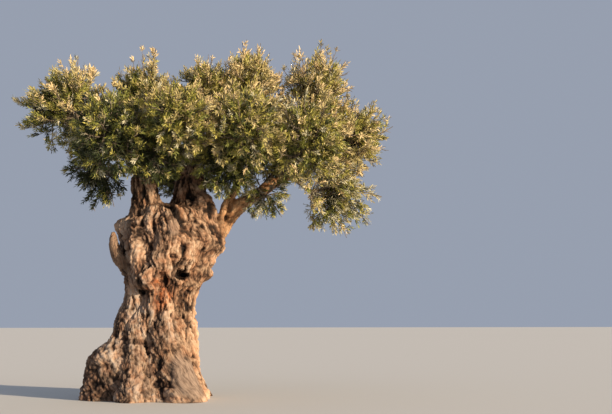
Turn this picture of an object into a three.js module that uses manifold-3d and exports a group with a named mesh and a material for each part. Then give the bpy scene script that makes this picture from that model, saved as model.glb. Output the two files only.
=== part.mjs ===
// An old, pollarded olive tree: a short, hugely swollen and fluted trunk with flaring roots, four limbs
// rising from its head, and a wide, flat-topped crown of leafy masses.
// Millimetres, +Z up, +X to the right as the tree is usually seen, +Y away from the viewer.
// The origin is on the flat cut at ground level, under the middle of the trunk.

import * as THREE from "three";
import { mergeVertices } from "three/addons/utils/BufferGeometryUtils.js";
import Module from "manifold-3d";

const wasm = await Module();
wasm.setup();

const DEGREE = Math.PI / 180;
const GOLDEN_ANGLE = Math.PI * (3 - Math.sqrt(5));
const UP = new THREE.Vector3(0, 0, 1);
const CLEARANCE = 0.3; // between two pieces that touch on the living tree

// The colours of the tree's own surfaces
const BARK = { color: "#9a7f66", roughness: 0.95, metalness: 0 };
const YOUNG_BARK = { color: "#8d7a63", roughness: 0.9, metalness: 0 };
const LEAF = { color: "#7d7f4c", roughness: 0.6, metalness: 0 };

// The trunk. Each station is a height with the oval that the trunk fills there, before roots and ribs.
const TRUNK_SIDES = 40;
const TRUNK_RINGS = 25; // up to the rim
const DOME_RINGS = 4; // from the rim over the top
const TRUNK_STATIONS = [
  { height: 0, middle: 5, halfWidth: 610, halfDepth: 570 }, // foot
  { height: 480, middle: -15, halfWidth: 540, halfDepth: 500 }, // over the roots
  { height: 960, middle: -50, halfWidth: 535, halfDepth: 460 }, // shank
  { height: 1330, middle: 25, halfWidth: 470, halfDepth: 425 }, // waist
  { height: 1600, middle: 85, halfWidth: 525, halfDepth: 465 }, // under the swelling
  { height: 1860, middle: 125, halfWidth: 625, halfDepth: 545 }, // swelling
  { height: 2120, middle: 200, halfWidth: 680, halfDepth: 600 }, // widest
  { height: 2330, middle: 160, halfWidth: 690, halfDepth: 565 }, // shoulder
  { height: 2500, middle: 195, halfWidth: 545, halfDepth: 470 }, // rim
];
const DOME_RISE = 150;

// Roots flare from the foot. A root with a step keeps its reach up to a rounded shoulder.
const ROOTS = [
  { heading: 188, reach: 385, spread: 26, top: 900, step: 520 }, // the big left root
  { heading: 236, reach: 200, spread: 17, top: 760, step: 0 },
  { heading: 305, reach: 350, spread: 27, top: 1050, step: 0 }, // the bare slab in front
  { heading: 349, reach: 150, spread: 16, top: 820, step: 0 },
  { heading: 24, reach: 230, spread: 16, top: 650, step: 0 },
  { heading: 66, reach: 210, spread: 15, top: 700, step: 250 },
  { heading: 108, reach: 290, spread: 19, top: 820, step: 0 },
  { heading: 150, reach: 200, spread: 15, top: 640, step: 0 },
];
const ROOT_EDGE = 1.6; // how far a root fades out, beyond its spread
const ROOT_TAPER = 1.4;

// Ribs run up the trunk and lean round it; each set has a count, a depth and how it leans and wavers.
const RIBS = [
  { count: 5, depth: 46, lean: 1 / 1900, waver: 0.9, wave: 800, phase: 0.4 },
  { count: 9, depth: 30, lean: -1 / 2600, waver: 0.8, wave: 430, phase: 1.9 },
];
const RIB_SINK = 1.2; // how far the trunk sinks in between two ribs, as a share of their depth
const RIB_FADE = { least: 0.55, from: 300, to: 900 }; // the ribs are lower near the ground

// Burls stand out of the trunk by their reach, and dents go in. Most burls end below in a ledge.
const BURLS = [
  { heading: 354, height: 1640, reach: 130, spread: 15, above: 130, below: 90 }, // right, over the waist
  { heading: 356, height: 1985, reach: 50, spread: 17, above: 300, below: 90 }, // right, under the limb
  { heading: 246, height: 1650, reach: 90, spread: 22, above: 620, below: 120 }, // behind the hanging rib
  { heading: 214, height: 2180, reach: 75, spread: 15, above: 260, below: 420 }, // left shoulder
  { heading: 290, height: 1880, reach: 95, spread: 17, above: 330, below: 110 }, // brow over the hollow
  { heading: 276, height: 2330, reach: 60, spread: 13, above: 210, below: 330 }, // bare wood in front
  { heading: 322, height: 2060, reach: 65, spread: 16, above: 380, below: 240 },
  { heading: 282, height: 1420, reach: -60, spread: 16, above: 160, below: 260 }, // under the hollow
  { heading: 184, height: 1560, reach: -24, spread: 20, above: 260, below: 340 },
  { heading: 92, height: 1720, reach: 110, spread: 22, above: 480, below: 150 },
  { heading: 138, height: 2080, reach: 85, spread: 17, above: 300, below: 240 },
  { heading: 40, height: 1930, reach: 80, spread: 18, above: 330, below: 140 },
  { heading: 118, height: 1330, reach: -55, spread: 18, above: 150, below: 300 },
];
const BURL_EDGE = 1.7; // how far a burl fades out, beyond its spread

// Hollows: the open hole in front, and the shallow recess between it and the hanging rib's end.
const HOLLOWS = [
  { at: [328, -590, 1655], radii: [118, 430, 84] },
  { at: [60, -600, 1540], radii: [140, 230, 115] },
];

// Round burls: on the right of the trunk's head in front of the middle bough, and the hanging rib's end.
const ROUND_BURLS = [
  { at: [575, -150, 2500], radii: [210, 240, 300] },
  { at: [-150, -450, 1610], radii: [165, 170, 165] },
];

// The rib that hangs down the front of the trunk's left side.
const HANGING_RIB = {
  points: [[-262, -350, 2420], [-305, -430, 2040], [-155, -440, 1640]],
  startRadius: 90, endRadius: 140, sides: 7,
};

// The cut stub that stands out of the left side of the trunk.
const STUB = {
  points: [[-440, -220, 1800], [-565, -310, 1960], [-596, -335, 2262]],
  startRadius: 86, endRadius: 54, sides: 6,
};

// The limbs that leave the trunk. Radii are at the start and at the cut tip.
const BOUGHS = {
  bough_left: {
    points: [[-150, -80, 2300], [-185, -90, 2731], [-205, -80, 3010], [-235, -70, 3320]],
    startRadius: 252, endRadius: 140, sides: 10,
  },
  bough_middle: {
    points: [[415, 50, 2300], [425, 70, 2660], [430, 90, 2900], [455, 120, 3230]],
    startRadius: 345, endRadius: 165, sides: 12,
  },
  bough_right: {
    points: [[770, -40, 2150], [895, -65, 2390], [1205, -90, 2715], [1478, -100, 2890], [1790, -80, 3090]],
    startRadius: 138, endRadius: 70, sides: 8,
  },
  bough_thin: {
    points: [[835, -170, 2230], [900, -175, 2620], [1040, -150, 2846], [1130, -90, 3230],
      [1200, -20, 3720]],
    startRadius: 66, endRadius: 34, sides: 6,
  },
};

// The masses of foliage: the space each one keeps to, what carries it, and where on that limb its own
// branch leaves. tips are the crown's furthest leaf tips. A mass with a core is dense inside, up to that
// share of its space. A mass with hang droops, and the others reach up and out.
const MASSES = [
  { name: "far_left", at: [-1380, 0, 4040], radii: [670, 660, 760], from: "bough_left", along: 0.93,
    tips: [[-2036, 0, 4080], [-1165, 40, 4735], [-1800, -80, 3640]] },
  { name: "left_low", at: [-810, -40, 3110], radii: [480, 600, 600], from: "bough_left", along: 0.74,
    tips: [[-905, -40, 2540], [-610, -60, 2590]], hang: 0.5 },
  { name: "left_top", at: [-240, 60, 4120], radii: [560, 640, 830], from: "bough_left", along: 1,
    tips: [[-98, 60, 4905], [-400, 40, 4620]], core: 0.41 },
  { name: "left_front", at: [-640, -1080, 3380], radii: [560, 680, 620], from: "bough_left", along: 0.86,
    tips: [], core: 0.43 },
  { name: "left_back", at: [-900, 1130, 3900], radii: [640, 700, 680], from: "bough_left", along: 0.9,
    tips: [], core: 0.43 },
  { name: "middle_left", at: [-60, -720, 3240], radii: [480, 520, 470], from: "bough_left", along: 0.8,
    tips: [], core: 0.45 },
  { name: "top_middle", at: [600, -60, 4230], radii: [540, 640, 620], from: "bough_middle", along: 1,
    tips: [[698, -40, 4815]], core: 0.43 },
  { name: "middle_front", at: [240, -1200, 3620], radii: [520, 660, 560], from: "bough_middle", along: 0.9,
    tips: [], core: 0.45 },
  { name: "middle", at: [890, -560, 3240], radii: [550, 560, 530], from: "bough_middle", along: 0.8,
    tips: [], core: 0.43 },
  { name: "front_right", at: [1090, -1250, 3480], radii: [560, 660, 600], from: "bough_middle", along: 0.94,
    tips: [], core: 0.45 },
  { name: "back_middle", at: [-20, 1300, 4020], radii: [620, 720, 660], from: "bough_middle", along: 0.92,
    tips: [], core: 0.43 },
  { name: "back_low", at: [330, 1000, 3280], radii: [740, 600, 450], from: "bough_middle", along: 0.78,
    tips: [], core: 0.41 },
  { name: "back_right", at: [930, 1330, 4080], radii: [640, 720, 700], from: "bough_middle", along: 0.97,
    tips: [], core: 0.43 },
  { name: "top_crown", at: [1230, 0, 4400], radii: [540, 680, 700], from: "bough_thin", along: 1,
    tips: [[1143, 0, 5004], [1405, 20, 5050]], core: 0.41 },
  { name: "low_cluster", at: [1455, -320, 2760], radii: [430, 400, 375], from: "bough_right", along: 0.62,
    tips: [[1255, -250, 2490], [1682, -300, 2464]], hang: 0.5 },
  { name: "right_middle", at: [1680, -100, 3300], radii: [520, 480, 480], from: "bough_right", along: 0.72,
    tips: [], core: 0.45 },
  { name: "right_front", at: [1940, -1130, 3330], radii: [580, 660, 640], from: "bough_right", along: 0.92,
    tips: [], core: 0.43 },
  { name: "top_right", at: [2250, 0, 4430], radii: [560, 660, 760], from: "bough_right", along: 1,
    tips: [[2309, 0, 5161], [2660, -30, 4840]], core: 0.39 },
  { name: "right", at: [2790, -60, 3720], radii: [600, 680, 680], from: "bough_right", along: 0.99,
    tips: [[3359, -60, 3870], [3096, -80, 3330]], core: 0.35 },
  { name: "right_low", at: [2570, -120, 2790], radii: [630, 620, 600], from: "bough_right", along: 0.97,
    tips: [[3165, -120, 2812], [2640, -120, 2210], [2950, -140, 2420]], hang: 0.35 },
  { name: "far_back", at: [1860, 1250, 3980], radii: [660, 720, 700], from: "bough_right", along: 0.9,
    tips: [], core: 0.43 },
  { name: "right_back", at: [2640, 1060, 3480], radii: [620, 680, 680], from: "bough_right", along: 0.96,
    tips: [], core: 0.39 },
];
const BRANCH_START_RADIUS = 60;
const BRANCH_END_RADIUS = 32;
const BRANCH_RISE = 0.14; // how far a branch bows upwards, as a share of its length
const BRANCH_SIDES = 5;
const BRANCH_LEAST_LENGTH = 130; // outside the bark of its bough
const LIMB_STEPS = 40; // points along a limb, to find where something leaves it
const LIMB_STRETCHES = 8; // straight stretches of a limb, to find how near a leaf passes
const FURTHEST_ROOM = 2400; // more than any space measures along a direction
const ROOM_HALVINGS = 22;
const BRANCH_ENTRY = 0.88; // where it ends, as a share of the way from a mass's middle to its edge
const BRANCH_ENTRY_LEAST = 0.25; // the same for a mass that is close to its bough

// Foliage: three-sided twigs, and leaves that each stand for one leafy spray. Shares are of a mass's
// mean radius where nothing else is said.
const STEM_END_RADIUS = 26;
const STEM_TO_BRANCH = 0.95; // the stem's radius at its start, as a share of its branch's tip
const STEM_BOW = 0.4; // how far the stem runs on straight, as a share of the way to the mass's middle
const TWIG_START_RADIUS = 10;
const TWIG_END_RADIUS = 6;
const TWIG_LEAST_SHARE = 0.14;
const TWIG_CLEAR_OF_CORE = 1.08; // where a twig's leaf may start, as a share of the core's reach
const TWIGS_PER_MASS = 8;
const FULL_MASS_RADIUS = 450; // a smaller mass has fewer twigs
const TWIG_SEATS = { furthest: 0.94, nearest: 0.38 }; // along the stem of a loose mass
const TWIG_REACH = 0.98; // how much of the room along its heading a twig and its leaf fill
const TWIG_TRIES = 17; // headings spread evenly round the mass, of which those with room are used
const TWIG_STRAY = 0.5; // how far a heading strays from its even place, in radians
const TWIG_LEANS = { up: 0.15, down: 0.6 }; // down only in a mass that hangs
const LEAF_LEANS = { up: 0.15, down: 0.25 };
const STEM_SIDE = 0.72; // headings nearer than this to the stem's own side stay bare, as a cosine
const STEM_BEYOND = { loose: 0.3, dense: 0.05 }; // past the mass's middle, as a share of the room there
const SHRINKS = [1, 0.85, 0.7, 0.55]; // sizes that are tried for the leaf at a twig's end
const SIDE_LEAVES = { onTwig: 2, onCore: 10 };
const LEAF_SHARE = { least: 0.56, most: 0.78 };
const CORE_LEAF_SHARE = { least: 0.56, most: 0.7 };
const CORE_LUMPS = 0.06; // how far a dense core is uneven, as a share of its reach
const CORE_LUMP_WAVES = [4.1, 5.3, 4.7]; // how close its lumps are, along X, Y and Z
const CORE_TO_NEIGHBOUR = 0.9; // how far a core may reach to the plane between two masses
const SUNK_IN_CORE = 0.8; // where a twig or leaf starts in a core, as a share of the core's reach
const LEAST_LEAF_SHARE = 0.2;
const LEAF_OPENS = { onTwig: { least: 36, most: 62 }, onCore: { least: 5, most: 45 } }; // degrees
const LEAF_SEATS = { nearest: 0.3, furthest: 0.96 }; // along its twig
const LEAF_WIDTH_SHARE = 0.48; // of its length, as are the thickness and the widest place
const LEAF_THICKNESS_SHARE = 0.035;
const LEAF_WIDEST = 0.42; // along the leaf, where it is widest
const LEAF_ATTEMPTS = 7; // headings that are tried for each leaf
const LEAF_SHRINK = 0.07; // how much shorter each attempt is
const LEAF_TURN = 0.37 * GOLDEN_ANGLE; // between attempts
const LEAF_OPEN_FROM = 0.12; // along a leaf, where it has come clear of the twig that it grows on
const LEAF_CLEAR = { limb: 0.8, twig: 0.6, leaf: 0.35 }; // of its half width, from what it passes
const SPACE_MARGIN = 9; // from a space's edge to its leaves
const LIMB_MARGIN = 14; // from a limb to the leaves and twigs that pass it

// Helpers for numbers

/** The same stream of numbers from 0 to 1 each time, for one seed. */
function seeded(seed) {
  let state = seed >>> 0;
  return () => {
    state = (state + 0x6d2b79f5) >>> 0;
    let mixed = Math.imul(state ^ (state >>> 15), state | 1);
    mixed = (mixed + Math.imul(mixed ^ (mixed >>> 7), mixed | 61)) ^ mixed;
    return ((mixed ^ (mixed >>> 14)) >>> 0) / 4294967296;
  };
}

const smooth = (low, high, value) => THREE.MathUtils.smoothstep(value, low, high);
const vector = (numbers) => new THREE.Vector3(...numbers);

/** How far apart two headings are, in degrees, from 0 to 180. */
function turnBetween(first, second) {
  const turn = Math.abs(first - second) % 360;
  return turn > 180 ? 360 - turn : turn;
}

/** A bump from 1 at zero offset down to 0 at one and beyond. */
const bump = (offset) => (offset < 1 ? (1 - offset * offset) ** 2 : 0);

// Helpers for solids

/** A closed geometry as a solid that can be cut and joined. */
function solidOf(geometry) {
  const bare = geometry.clone();
  bare.deleteAttribute("normal");
  bare.deleteAttribute("uv");
  const merged = mergeVertices(bare, 1e-3);
  return new wasm.Manifold(
    new wasm.Mesh({
      numProp: 3,
      vertProperties: new Float32Array(merged.attributes.position.array),
      triVerts: new Uint32Array(merged.index.array),
    }),
  );
}

/** The largest connected body of a solid, so that loose scraps and sealed hollows are dropped. */
function largestBody(solid) {
  const bodies = solid.decompose().sort((a, b) => b.volume() - a.volume());
  return bodies[0];
}

function meshOf(name, solid, finish) {
  const shape = solid.getMesh();
  const geometry = new THREE.BufferGeometry();
  geometry.setAttribute("position", new THREE.BufferAttribute(shape.vertProperties, 3));
  geometry.setIndex(new THREE.BufferAttribute(shape.triVerts, 1));
  geometry.computeVertexNormals();
  const mesh = new THREE.Mesh(geometry, new THREE.MeshStandardMaterial({ ...finish, flatShading: true }));
  mesh.name = name;
  return mesh;
}

// The trunk

/** The oval that the trunk fills at a height, eased between its stations. */
function trunkOval(height) {
  const last = TRUNK_STATIONS.length - 1;
  let k = 0;
  while (k < last - 1 && height > TRUNK_STATIONS[k + 1].height) k += 1;
  const low = TRUNK_STATIONS[k];
  const high = TRUNK_STATIONS[k + 1];
  const t = smooth(0, 1, (height - low.height) / (high.height - low.height));
  return {
    middle: THREE.MathUtils.lerp(low.middle, high.middle, t),
    halfWidth: THREE.MathUtils.lerp(low.halfWidth, high.halfWidth, t),
    halfDepth: THREE.MathUtils.lerp(low.halfDepth, high.halfDepth, t),
  };
}

function rootReach(heading, height) {
  let reach = 0;
  for (const root of ROOTS) {
    const across = bump(turnBetween(heading, root.heading) / (root.spread * ROOT_EDGE));
    const tapered = Math.max(0, 1 - height / root.top) ** ROOT_TAPER;
    const rise = root.step > 0 ? 1 - smooth(root.step, root.top, height) : tapered;
    reach = Math.max(reach, root.reach * across * rise);
  }
  return reach;
}

function ribReach(heading, height) {
  const angle = heading * DEGREE;
  const fade = THREE.MathUtils.lerp(RIB_FADE.least, 1, smooth(RIB_FADE.from, RIB_FADE.to, height));
  let reach = 0;
  for (const rib of RIBS) {
    const waver = rib.waver * Math.sin(height / rib.wave + rib.phase);
    const phase = (rib.count * (angle + height * rib.lean) + waver) / 2;
    reach += rib.depth * fade * (2 * Math.abs(Math.sin(phase)) - RIB_SINK);
  }
  return reach;
}

function burlReach(heading, height) {
  let reach = 0;
  for (const burl of BURLS) {
    const across = turnBetween(heading, burl.heading) / (burl.spread * BURL_EDGE);
    const along = (height - burl.height) / (height > burl.height ? burl.above : burl.below);
    reach += burl.reach * bump(Math.hypot(across, along));
  }
  return reach;
}

/** How far the trunk's surface is from its middle, at a heading in degrees and a height. */
function trunkRadius(heading, height) {
  const oval = trunkOval(height);
  const angle = heading * DEGREE;
  const flat = Math.hypot(oval.halfDepth * Math.cos(angle), oval.halfWidth * Math.sin(angle));
  const radius = (oval.halfWidth * oval.halfDepth) / flat;
  return radius + rootReach(heading, height) + ribReach(heading, height) + burlReach(heading, height);
}

/** A faceted ball at its place, with its own radius along each axis. */
function ballSolid(ball, grow = 0) {
  const geometry = new THREE.IcosahedronGeometry(1, 2);
  const radii = ball.radii.map((radius) => radius + grow);
  geometry.scale(...radii).translate(...ball.at);
  return solidOf(geometry);
}

/** A closed sphere's rings, moved out to the trunk's surface. grow makes it thicker all round. */
function trunkSolid(grow = 0) {
  const rim = TRUNK_STATIONS.at(-1).height;
  const rings = DOME_RINGS + TRUNK_RINGS + 1;
  const geometry = new THREE.SphereGeometry(1, TRUNK_SIDES, rings);
  const position = geometry.attributes.position;
  for (let ring = 0; ring <= rings; ring += 1) {
    const overRim = ring <= DOME_RINGS ? Math.cos(((ring / DOME_RINGS) * Math.PI) / 2) : 0;
    const below = Math.min(1, Math.max(0, (ring - DOME_RINGS) / TRUNK_RINGS));
    const height = rim * (1 - below);
    const share = ring === rings ? 0 : Math.sqrt(1 - overRim * overRim);
    const oval = trunkOval(height);
    for (let side = 0; side <= TRUNK_SIDES; side += 1) {
      const heading = (side % TRUNK_SIDES) * (360 / TRUNK_SIDES);
      const radius = (trunkRadius(heading, height) + grow) * share;
      position.setXYZ(
        ring * (TRUNK_SIDES + 1) + side,
        oval.middle + radius * Math.cos(heading * DEGREE),
        radius * Math.sin(heading * DEGREE),
        height + (DOME_RISE + grow) * overRim,
      );
    }
  }
  let solid = solidOf(geometry);
  for (const limb of [STUB, HANGING_RIB]) solid = solid.add(limbSolid(limb, grow));
  for (const burl of ROUND_BURLS) solid = solid.add(ballSolid(burl, grow));
  if (grow > 0) return solid;
  for (const hollow of HOLLOWS) solid = solid.subtract(ballSolid(hollow));
  return largestBody(solid);
}

// Limbs and twigs

/** The points of a limb's middle line, evenly spaced. */
function limbLine(limb, steps) {
  const curve = new THREE.CatmullRomCurve3(limb.points.map(vector), false, "centripetal");
  return { points: curve.getSpacedPoints(steps), frames: curve.computeFrenetFrames(steps, false) };
}

/** A round, tapering limb with flat ends. grow makes it thicker and longer all round. */
function limbSolid(limb, grow = 0) {
  const steps = limb.steps ?? Math.max(1, (limb.points.length - 1) * 2);
  const { points, frames } = limbLine(limb, steps);
  const geometry = new THREE.CylinderGeometry(1, 1, 1, limb.sides, steps);
  const position = geometry.attributes.position;
  for (let i = 0; i < position.count; i += 1) {
    const along = Math.round((position.getY(i) + 0.5) * steps);
    const radius = THREE.MathUtils.lerp(limb.startRadius, limb.endRadius, along / steps) + grow;
    const place = points[along].clone();
    place.addScaledVector(frames.normals[along], position.getX(i) * radius);
    place.addScaledVector(frames.binormals[along], -position.getZ(i) * radius);
    if (along === 0) place.addScaledVector(frames.tangents[0], -grow);
    if (along === steps) place.addScaledVector(frames.tangents[steps], grow);
    position.setXYZ(i, place.x, place.y, place.z);
  }
  return solidOf(geometry);
}

/** A limb as straight stretches with their radii, for telling how near a leaf passes. */
function stretchesOf(limb) {
  const { points } = limbLine(limb, LIMB_STRETCHES);
  const stretches = [];
  for (let k = 0; k < LIMB_STRETCHES; k += 1) {
    const radius = THREE.MathUtils.lerp(limb.startRadius, limb.endRadius, k / LIMB_STRETCHES);
    stretches.push({ start: points[k], end: points[k + 1], radius });
  }
  return stretches;
}

/** The least distance between two straight stretches. */
function gapBetween(a, b, c, d) {
  const first = b.clone().sub(a);
  const second = d.clone().sub(c);
  const across = a.clone().sub(c);
  const [ff, fs, ss] = [first.dot(first), first.dot(second), second.dot(second)];
  const [fa, sa] = [first.dot(across), second.dot(across)];
  const even = Math.max(ff * ss - fs * fs, 1e-9);
  const clamp = (value) => THREE.MathUtils.clamp(value, 0, 1);
  const s = clamp((fs * sa - ss * fa) / even);
  const t = clamp((fs * s + sa) / ss);
  const sAgain = clamp((fs * t - fa) / ff);
  return a.clone().addScaledVector(first, sAgain).distanceTo(c.clone().addScaledVector(second, t));
}

// The space that each mass keeps to

const meanRadius = (mass) => (mass.radii[0] + mass.radii[1] + mass.radii[2]) / 3;
const weightOf = (mass) => meanRadius(mass) ** 2;

/** Whether a point is in a mass's own space: its ellipsoid, up to the planes that part it from others. */
function inSpace(mass, point) {
  const middle = vector(mass.at);
  const offset = point.clone().sub(middle);
  const [rx, ry, rz] = mass.radii;
  if ((offset.x / rx) ** 2 + (offset.y / ry) ** 2 + (offset.z / rz) ** 2 > 1) return false;
  const own = offset.lengthSq() - weightOf(mass);
  for (const other of MASSES) {
    if (other === mass) continue;
    const there = vector(other.at);
    const margin = 2 * SPACE_MARGIN * there.distanceTo(middle);
    if (point.distanceToSquared(there) - weightOf(other) < own + margin) return false;
  }
  return true;
}

/** How far the space goes from a point inside it, along a direction. */
function roomAlong(mass, start, direction) {
  let near = 0;
  let far = FURTHEST_ROOM;
  for (let k = 0; k < ROOM_HALVINGS; k += 1) {
    const half = (near + far) / 2;
    if (inSpace(mass, start.clone().addScaledVector(direction, half))) near = half;
    else far = half;
  }
  return near;
}

/** The branch from inside a bough to just inside the edge of a mass's space. */
function branchTo(mass, bough) {
  const { points } = limbLine(bough, LIMB_STEPS);
  const start = points[Math.min(LIMB_STEPS - 2, Math.round(mass.along * LIMB_STEPS))];
  const middle = vector(mass.at);
  const towards = start.clone().sub(middle);
  const gap = towards.length();
  towards.normalize();
  const inBark = THREE.MathUtils.lerp(bough.startRadius, bough.endRadius, mass.along);
  const edge = BRANCH_ENTRY * roomAlong(mass, middle, towards);
  const entry = Math.max(BRANCH_ENTRY_LEAST * gap, Math.min(edge, gap - inBark - BRANCH_LEAST_LENGTH));
  const end = middle.addScaledVector(towards, entry);
  const bow = start.clone().lerp(end, 0.5).addScaledVector(UP, BRANCH_RISE * start.distanceTo(end));
  return {
    points: [start.toArray(), bow.toArray(), end.toArray()],
    startRadius: BRANCH_START_RADIUS,
    endRadius: BRANCH_END_RADIUS,
    sides: BRANCH_SIDES,
    steps: 3,
  };
}

// Foliage

/** A three-sided solid through rows of points, from its tip to its root: first and last are one point. */
function threeSided(rows) {
  const geometry = new THREE.SphereGeometry(1, 3, rows.length - 1);
  const position = geometry.attributes.position;
  for (let i = 0; i < position.count; i += 1) {
    const row = rows[Math.floor(i / 4)];
    position.setXYZ(i, ...row[(i % 4) % row.length].toArray());
  }
  return solidOf(geometry);
}

/** A leaf's points: flat underneath, ridged above, and widest before its middle. */
function leafPoints(root, direction, flat, length) {
  const side = direction.clone().cross(flat).normalize();
  const belly = root.clone().addScaledVector(direction, LEAF_WIDEST * length);
  const halfWidth = (LEAF_WIDTH_SHARE * length) / 2;
  return {
    root,
    ridge: belly.clone().addScaledVector(flat, LEAF_THICKNESS_SHARE * length),
    right: belly.clone().addScaledVector(side, halfWidth),
    left: belly.clone().addScaledVector(side, -halfWidth),
    tip: root.clone().addScaledVector(direction, length),
  };
}

const leafSolid = ({ root, ridge, right, left, tip }) => threeSided([[tip], [ridge, right, left], [root]]);

/** Three points round a twig's middle line, the first of them towards flat. */
function twigRing(middle, heading, flat, radius) {
  const spokes = [0, 120, 240].map((angle) => flat.clone().applyAxisAngle(heading, angle * DEGREE));
  return spokes.map((spoke) => middle.clone().addScaledVector(spoke, radius));
}

/** A twig that runs out into the leaf at its end. Its root is inside the stem or the core. */
function shootSolid({ start, end, heading, endLeaf }) {
  const { tip, ridge, right, left } = endLeaf;
  const flat = ridge.clone().sub(left.clone().lerp(right, 0.5)).normalize();
  const far = twigRing(end, heading, flat, TWIG_END_RADIUS);
  const near = twigRing(start, heading, flat, TWIG_START_RADIUS);
  const behind = start.clone().addScaledVector(heading, -0.5 * TWIG_START_RADIUS);
  return threeSided([[tip], [ridge, right, left], far, near, [behind]]);
}

/** Whether a leaf or twig passes every limb with room to spare. */
function passesLimbs(start, end, halfWidth, stretches) {
  return stretches.every(
    (limb) => gapBetween(start, end, limb.start, limb.end) > limb.radius + halfWidth + LIMB_MARGIN,
  );
}

/** The mass's stem: on from its branch's tip, to the middle of its space and a little beyond. */
function stemOf(mass, branch) {
  const { points, frames } = limbLine(branch, LIMB_STEPS);
  const onwards = frames.tangents.at(-1);
  const start = points.at(-1).clone().addScaledVector(onwards, CLEARANCE);
  const middle = vector(mass.at);
  const bow = start.clone().addScaledVector(onwards, STEM_BOW * start.distanceTo(middle));
  const beyond = middle.clone().sub(start).normalize();
  const share = mass.core ? STEM_BEYOND.dense : STEM_BEYOND.loose;
  const end = middle.clone().addScaledVector(beyond, share * roomAlong(mass, middle, beyond));
  return {
    points: [start.toArray(), bow.toArray(), end.toArray()],
    startRadius: branch.endRadius * STEM_TO_BRANCH,
    endRadius: STEM_END_RADIUS,
    sides: 3,
    steps: mass.core ? 2 : 3,
  };
}

/** How far a dense mass's core reaches from its middle, along a heading. */
function coreReach(mass, heading) {
  const { x, y, z } = heading;
  const phase = mass.at[0] / 100;
  const [wx, wy, wz] = CORE_LUMP_WAVES;
  const lumps = Math.sin(wx * x + phase) + Math.sin(wy * y - phase) + Math.sin(wz * z);
  const [rx, ry, rz] = mass.radii;
  const whole = 1 / Math.hypot(x / rx, y / ry, z / rz);
  const open = mass.core * (1 + CORE_LUMPS * lumps) * whole;
  return Math.min(open, CORE_TO_NEIGHBOUR * roomAlong(mass, vector(mass.at), heading));
}

/** The dense inside of a mass, cut clear of the limbs that pass through it. */
function coreSolid(mass, cutters) {
  const geometry = new THREE.IcosahedronGeometry(1, 1);
  const position = geometry.attributes.position;
  for (let i = 0; i < position.count; i += 1) {
    const heading = new THREE.Vector3().fromBufferAttribute(position, i).normalize();
    position.setXYZ(i, ...vector(mass.at).addScaledVector(heading, coreReach(mass, heading)).toArray());
  }
  return cutters.reduce((solid, cutter) => solid.subtract(cutter), solidOf(geometry));
}

/** A frame of two directions square to a heading. */
function squareTo(heading) {
  const across = new THREE.Vector3(0.31, 0.47, 0.83).cross(heading).normalize();
  return { across, other: heading.clone().cross(across) };
}

/** Directions spread evenly over a sphere, turned by an angle. */
function spreadHeading(k, count, turn) {
  const level = 1 - (2 * (k + 0.5)) / count;
  const round = Math.sqrt(1 - level * level);
  const angle = turn + k * GOLDEN_ANGLE;
  return new THREE.Vector3(round * Math.cos(angle), round * Math.sin(angle), level);
}

/** A leaf to try: from a root towards a heading, opened away from it by an angle. */
function leafOn(mass, root, heading, open, angle, length, random) {
  const { across, other } = squareTo(heading);
  const direction = heading.clone().multiplyScalar(Math.cos(open));
  direction.addScaledVector(across, Math.sin(open) * Math.cos(angle));
  direction.addScaledVector(other, Math.sin(open) * Math.sin(angle));
  const lean = mass.hang ? -mass.hang * LEAF_LEANS.down : LEAF_LEANS.up;
  if (open > 0) direction.addScaledVector(UP, lean).normalize();
  const face = new THREE.Vector3(random() - 0.5, random() - 0.5, random() - 0.5);
  const flat = face.addScaledVector(direction, -face.dot(direction)).normalize();
  return leafPoints(root, direction, flat, length);
}

/** Whether a leaf keeps to its mass's space and passes the limbs and the mass's other leaves and twigs. */
function leafFits(mass, leaf, own, twigs, leaves, stretches) {
  if (!Object.values(leaf).every((point) => inSpace(mass, point))) return false;
  const halfWidth = 0.5 * leaf.left.distanceTo(leaf.right);
  if (!passesLimbs(leaf.root, leaf.tip, LEAF_CLEAR.limb * halfWidth, stretches)) return false;
  const open = leaf.root.clone().lerp(leaf.tip, LEAF_OPEN_FROM);
  for (const passed of twigs) {
    if (passed === own) continue;
    const gap = gapBetween(open, leaf.tip, passed.start, passed.end);
    if (gap < LEAF_CLEAR.twig * halfWidth) return false;
  }
  return leaves.every((other) => {
    const otherHalf = 0.5 * other.left.distanceTo(other.right);
    const otherOpen = other.root.clone().lerp(other.tip, LEAF_OPEN_FROM);
    const gap = gapBetween(open, leaf.tip, otherOpen, other.tip);
    return gap > LEAF_CLEAR.leaf * (halfWidth + otherHalf);
  });
}

/** Where a twig starts: in a dense mass's core, or on the stem of a loose one. */
function twigStart(mass, stem, heading, share) {
  const middle = vector(mass.at);
  if (mass.core) return middle.addScaledVector(heading, SUNK_IN_CORE * coreReach(mass, heading));
  const { points } = limbLine(stem, LIMB_STEPS);
  const along = THREE.MathUtils.lerp(TWIG_SEATS.furthest, TWIG_SEATS.nearest, share);
  return points[Math.round(LIMB_STEPS * along)];
}

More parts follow.
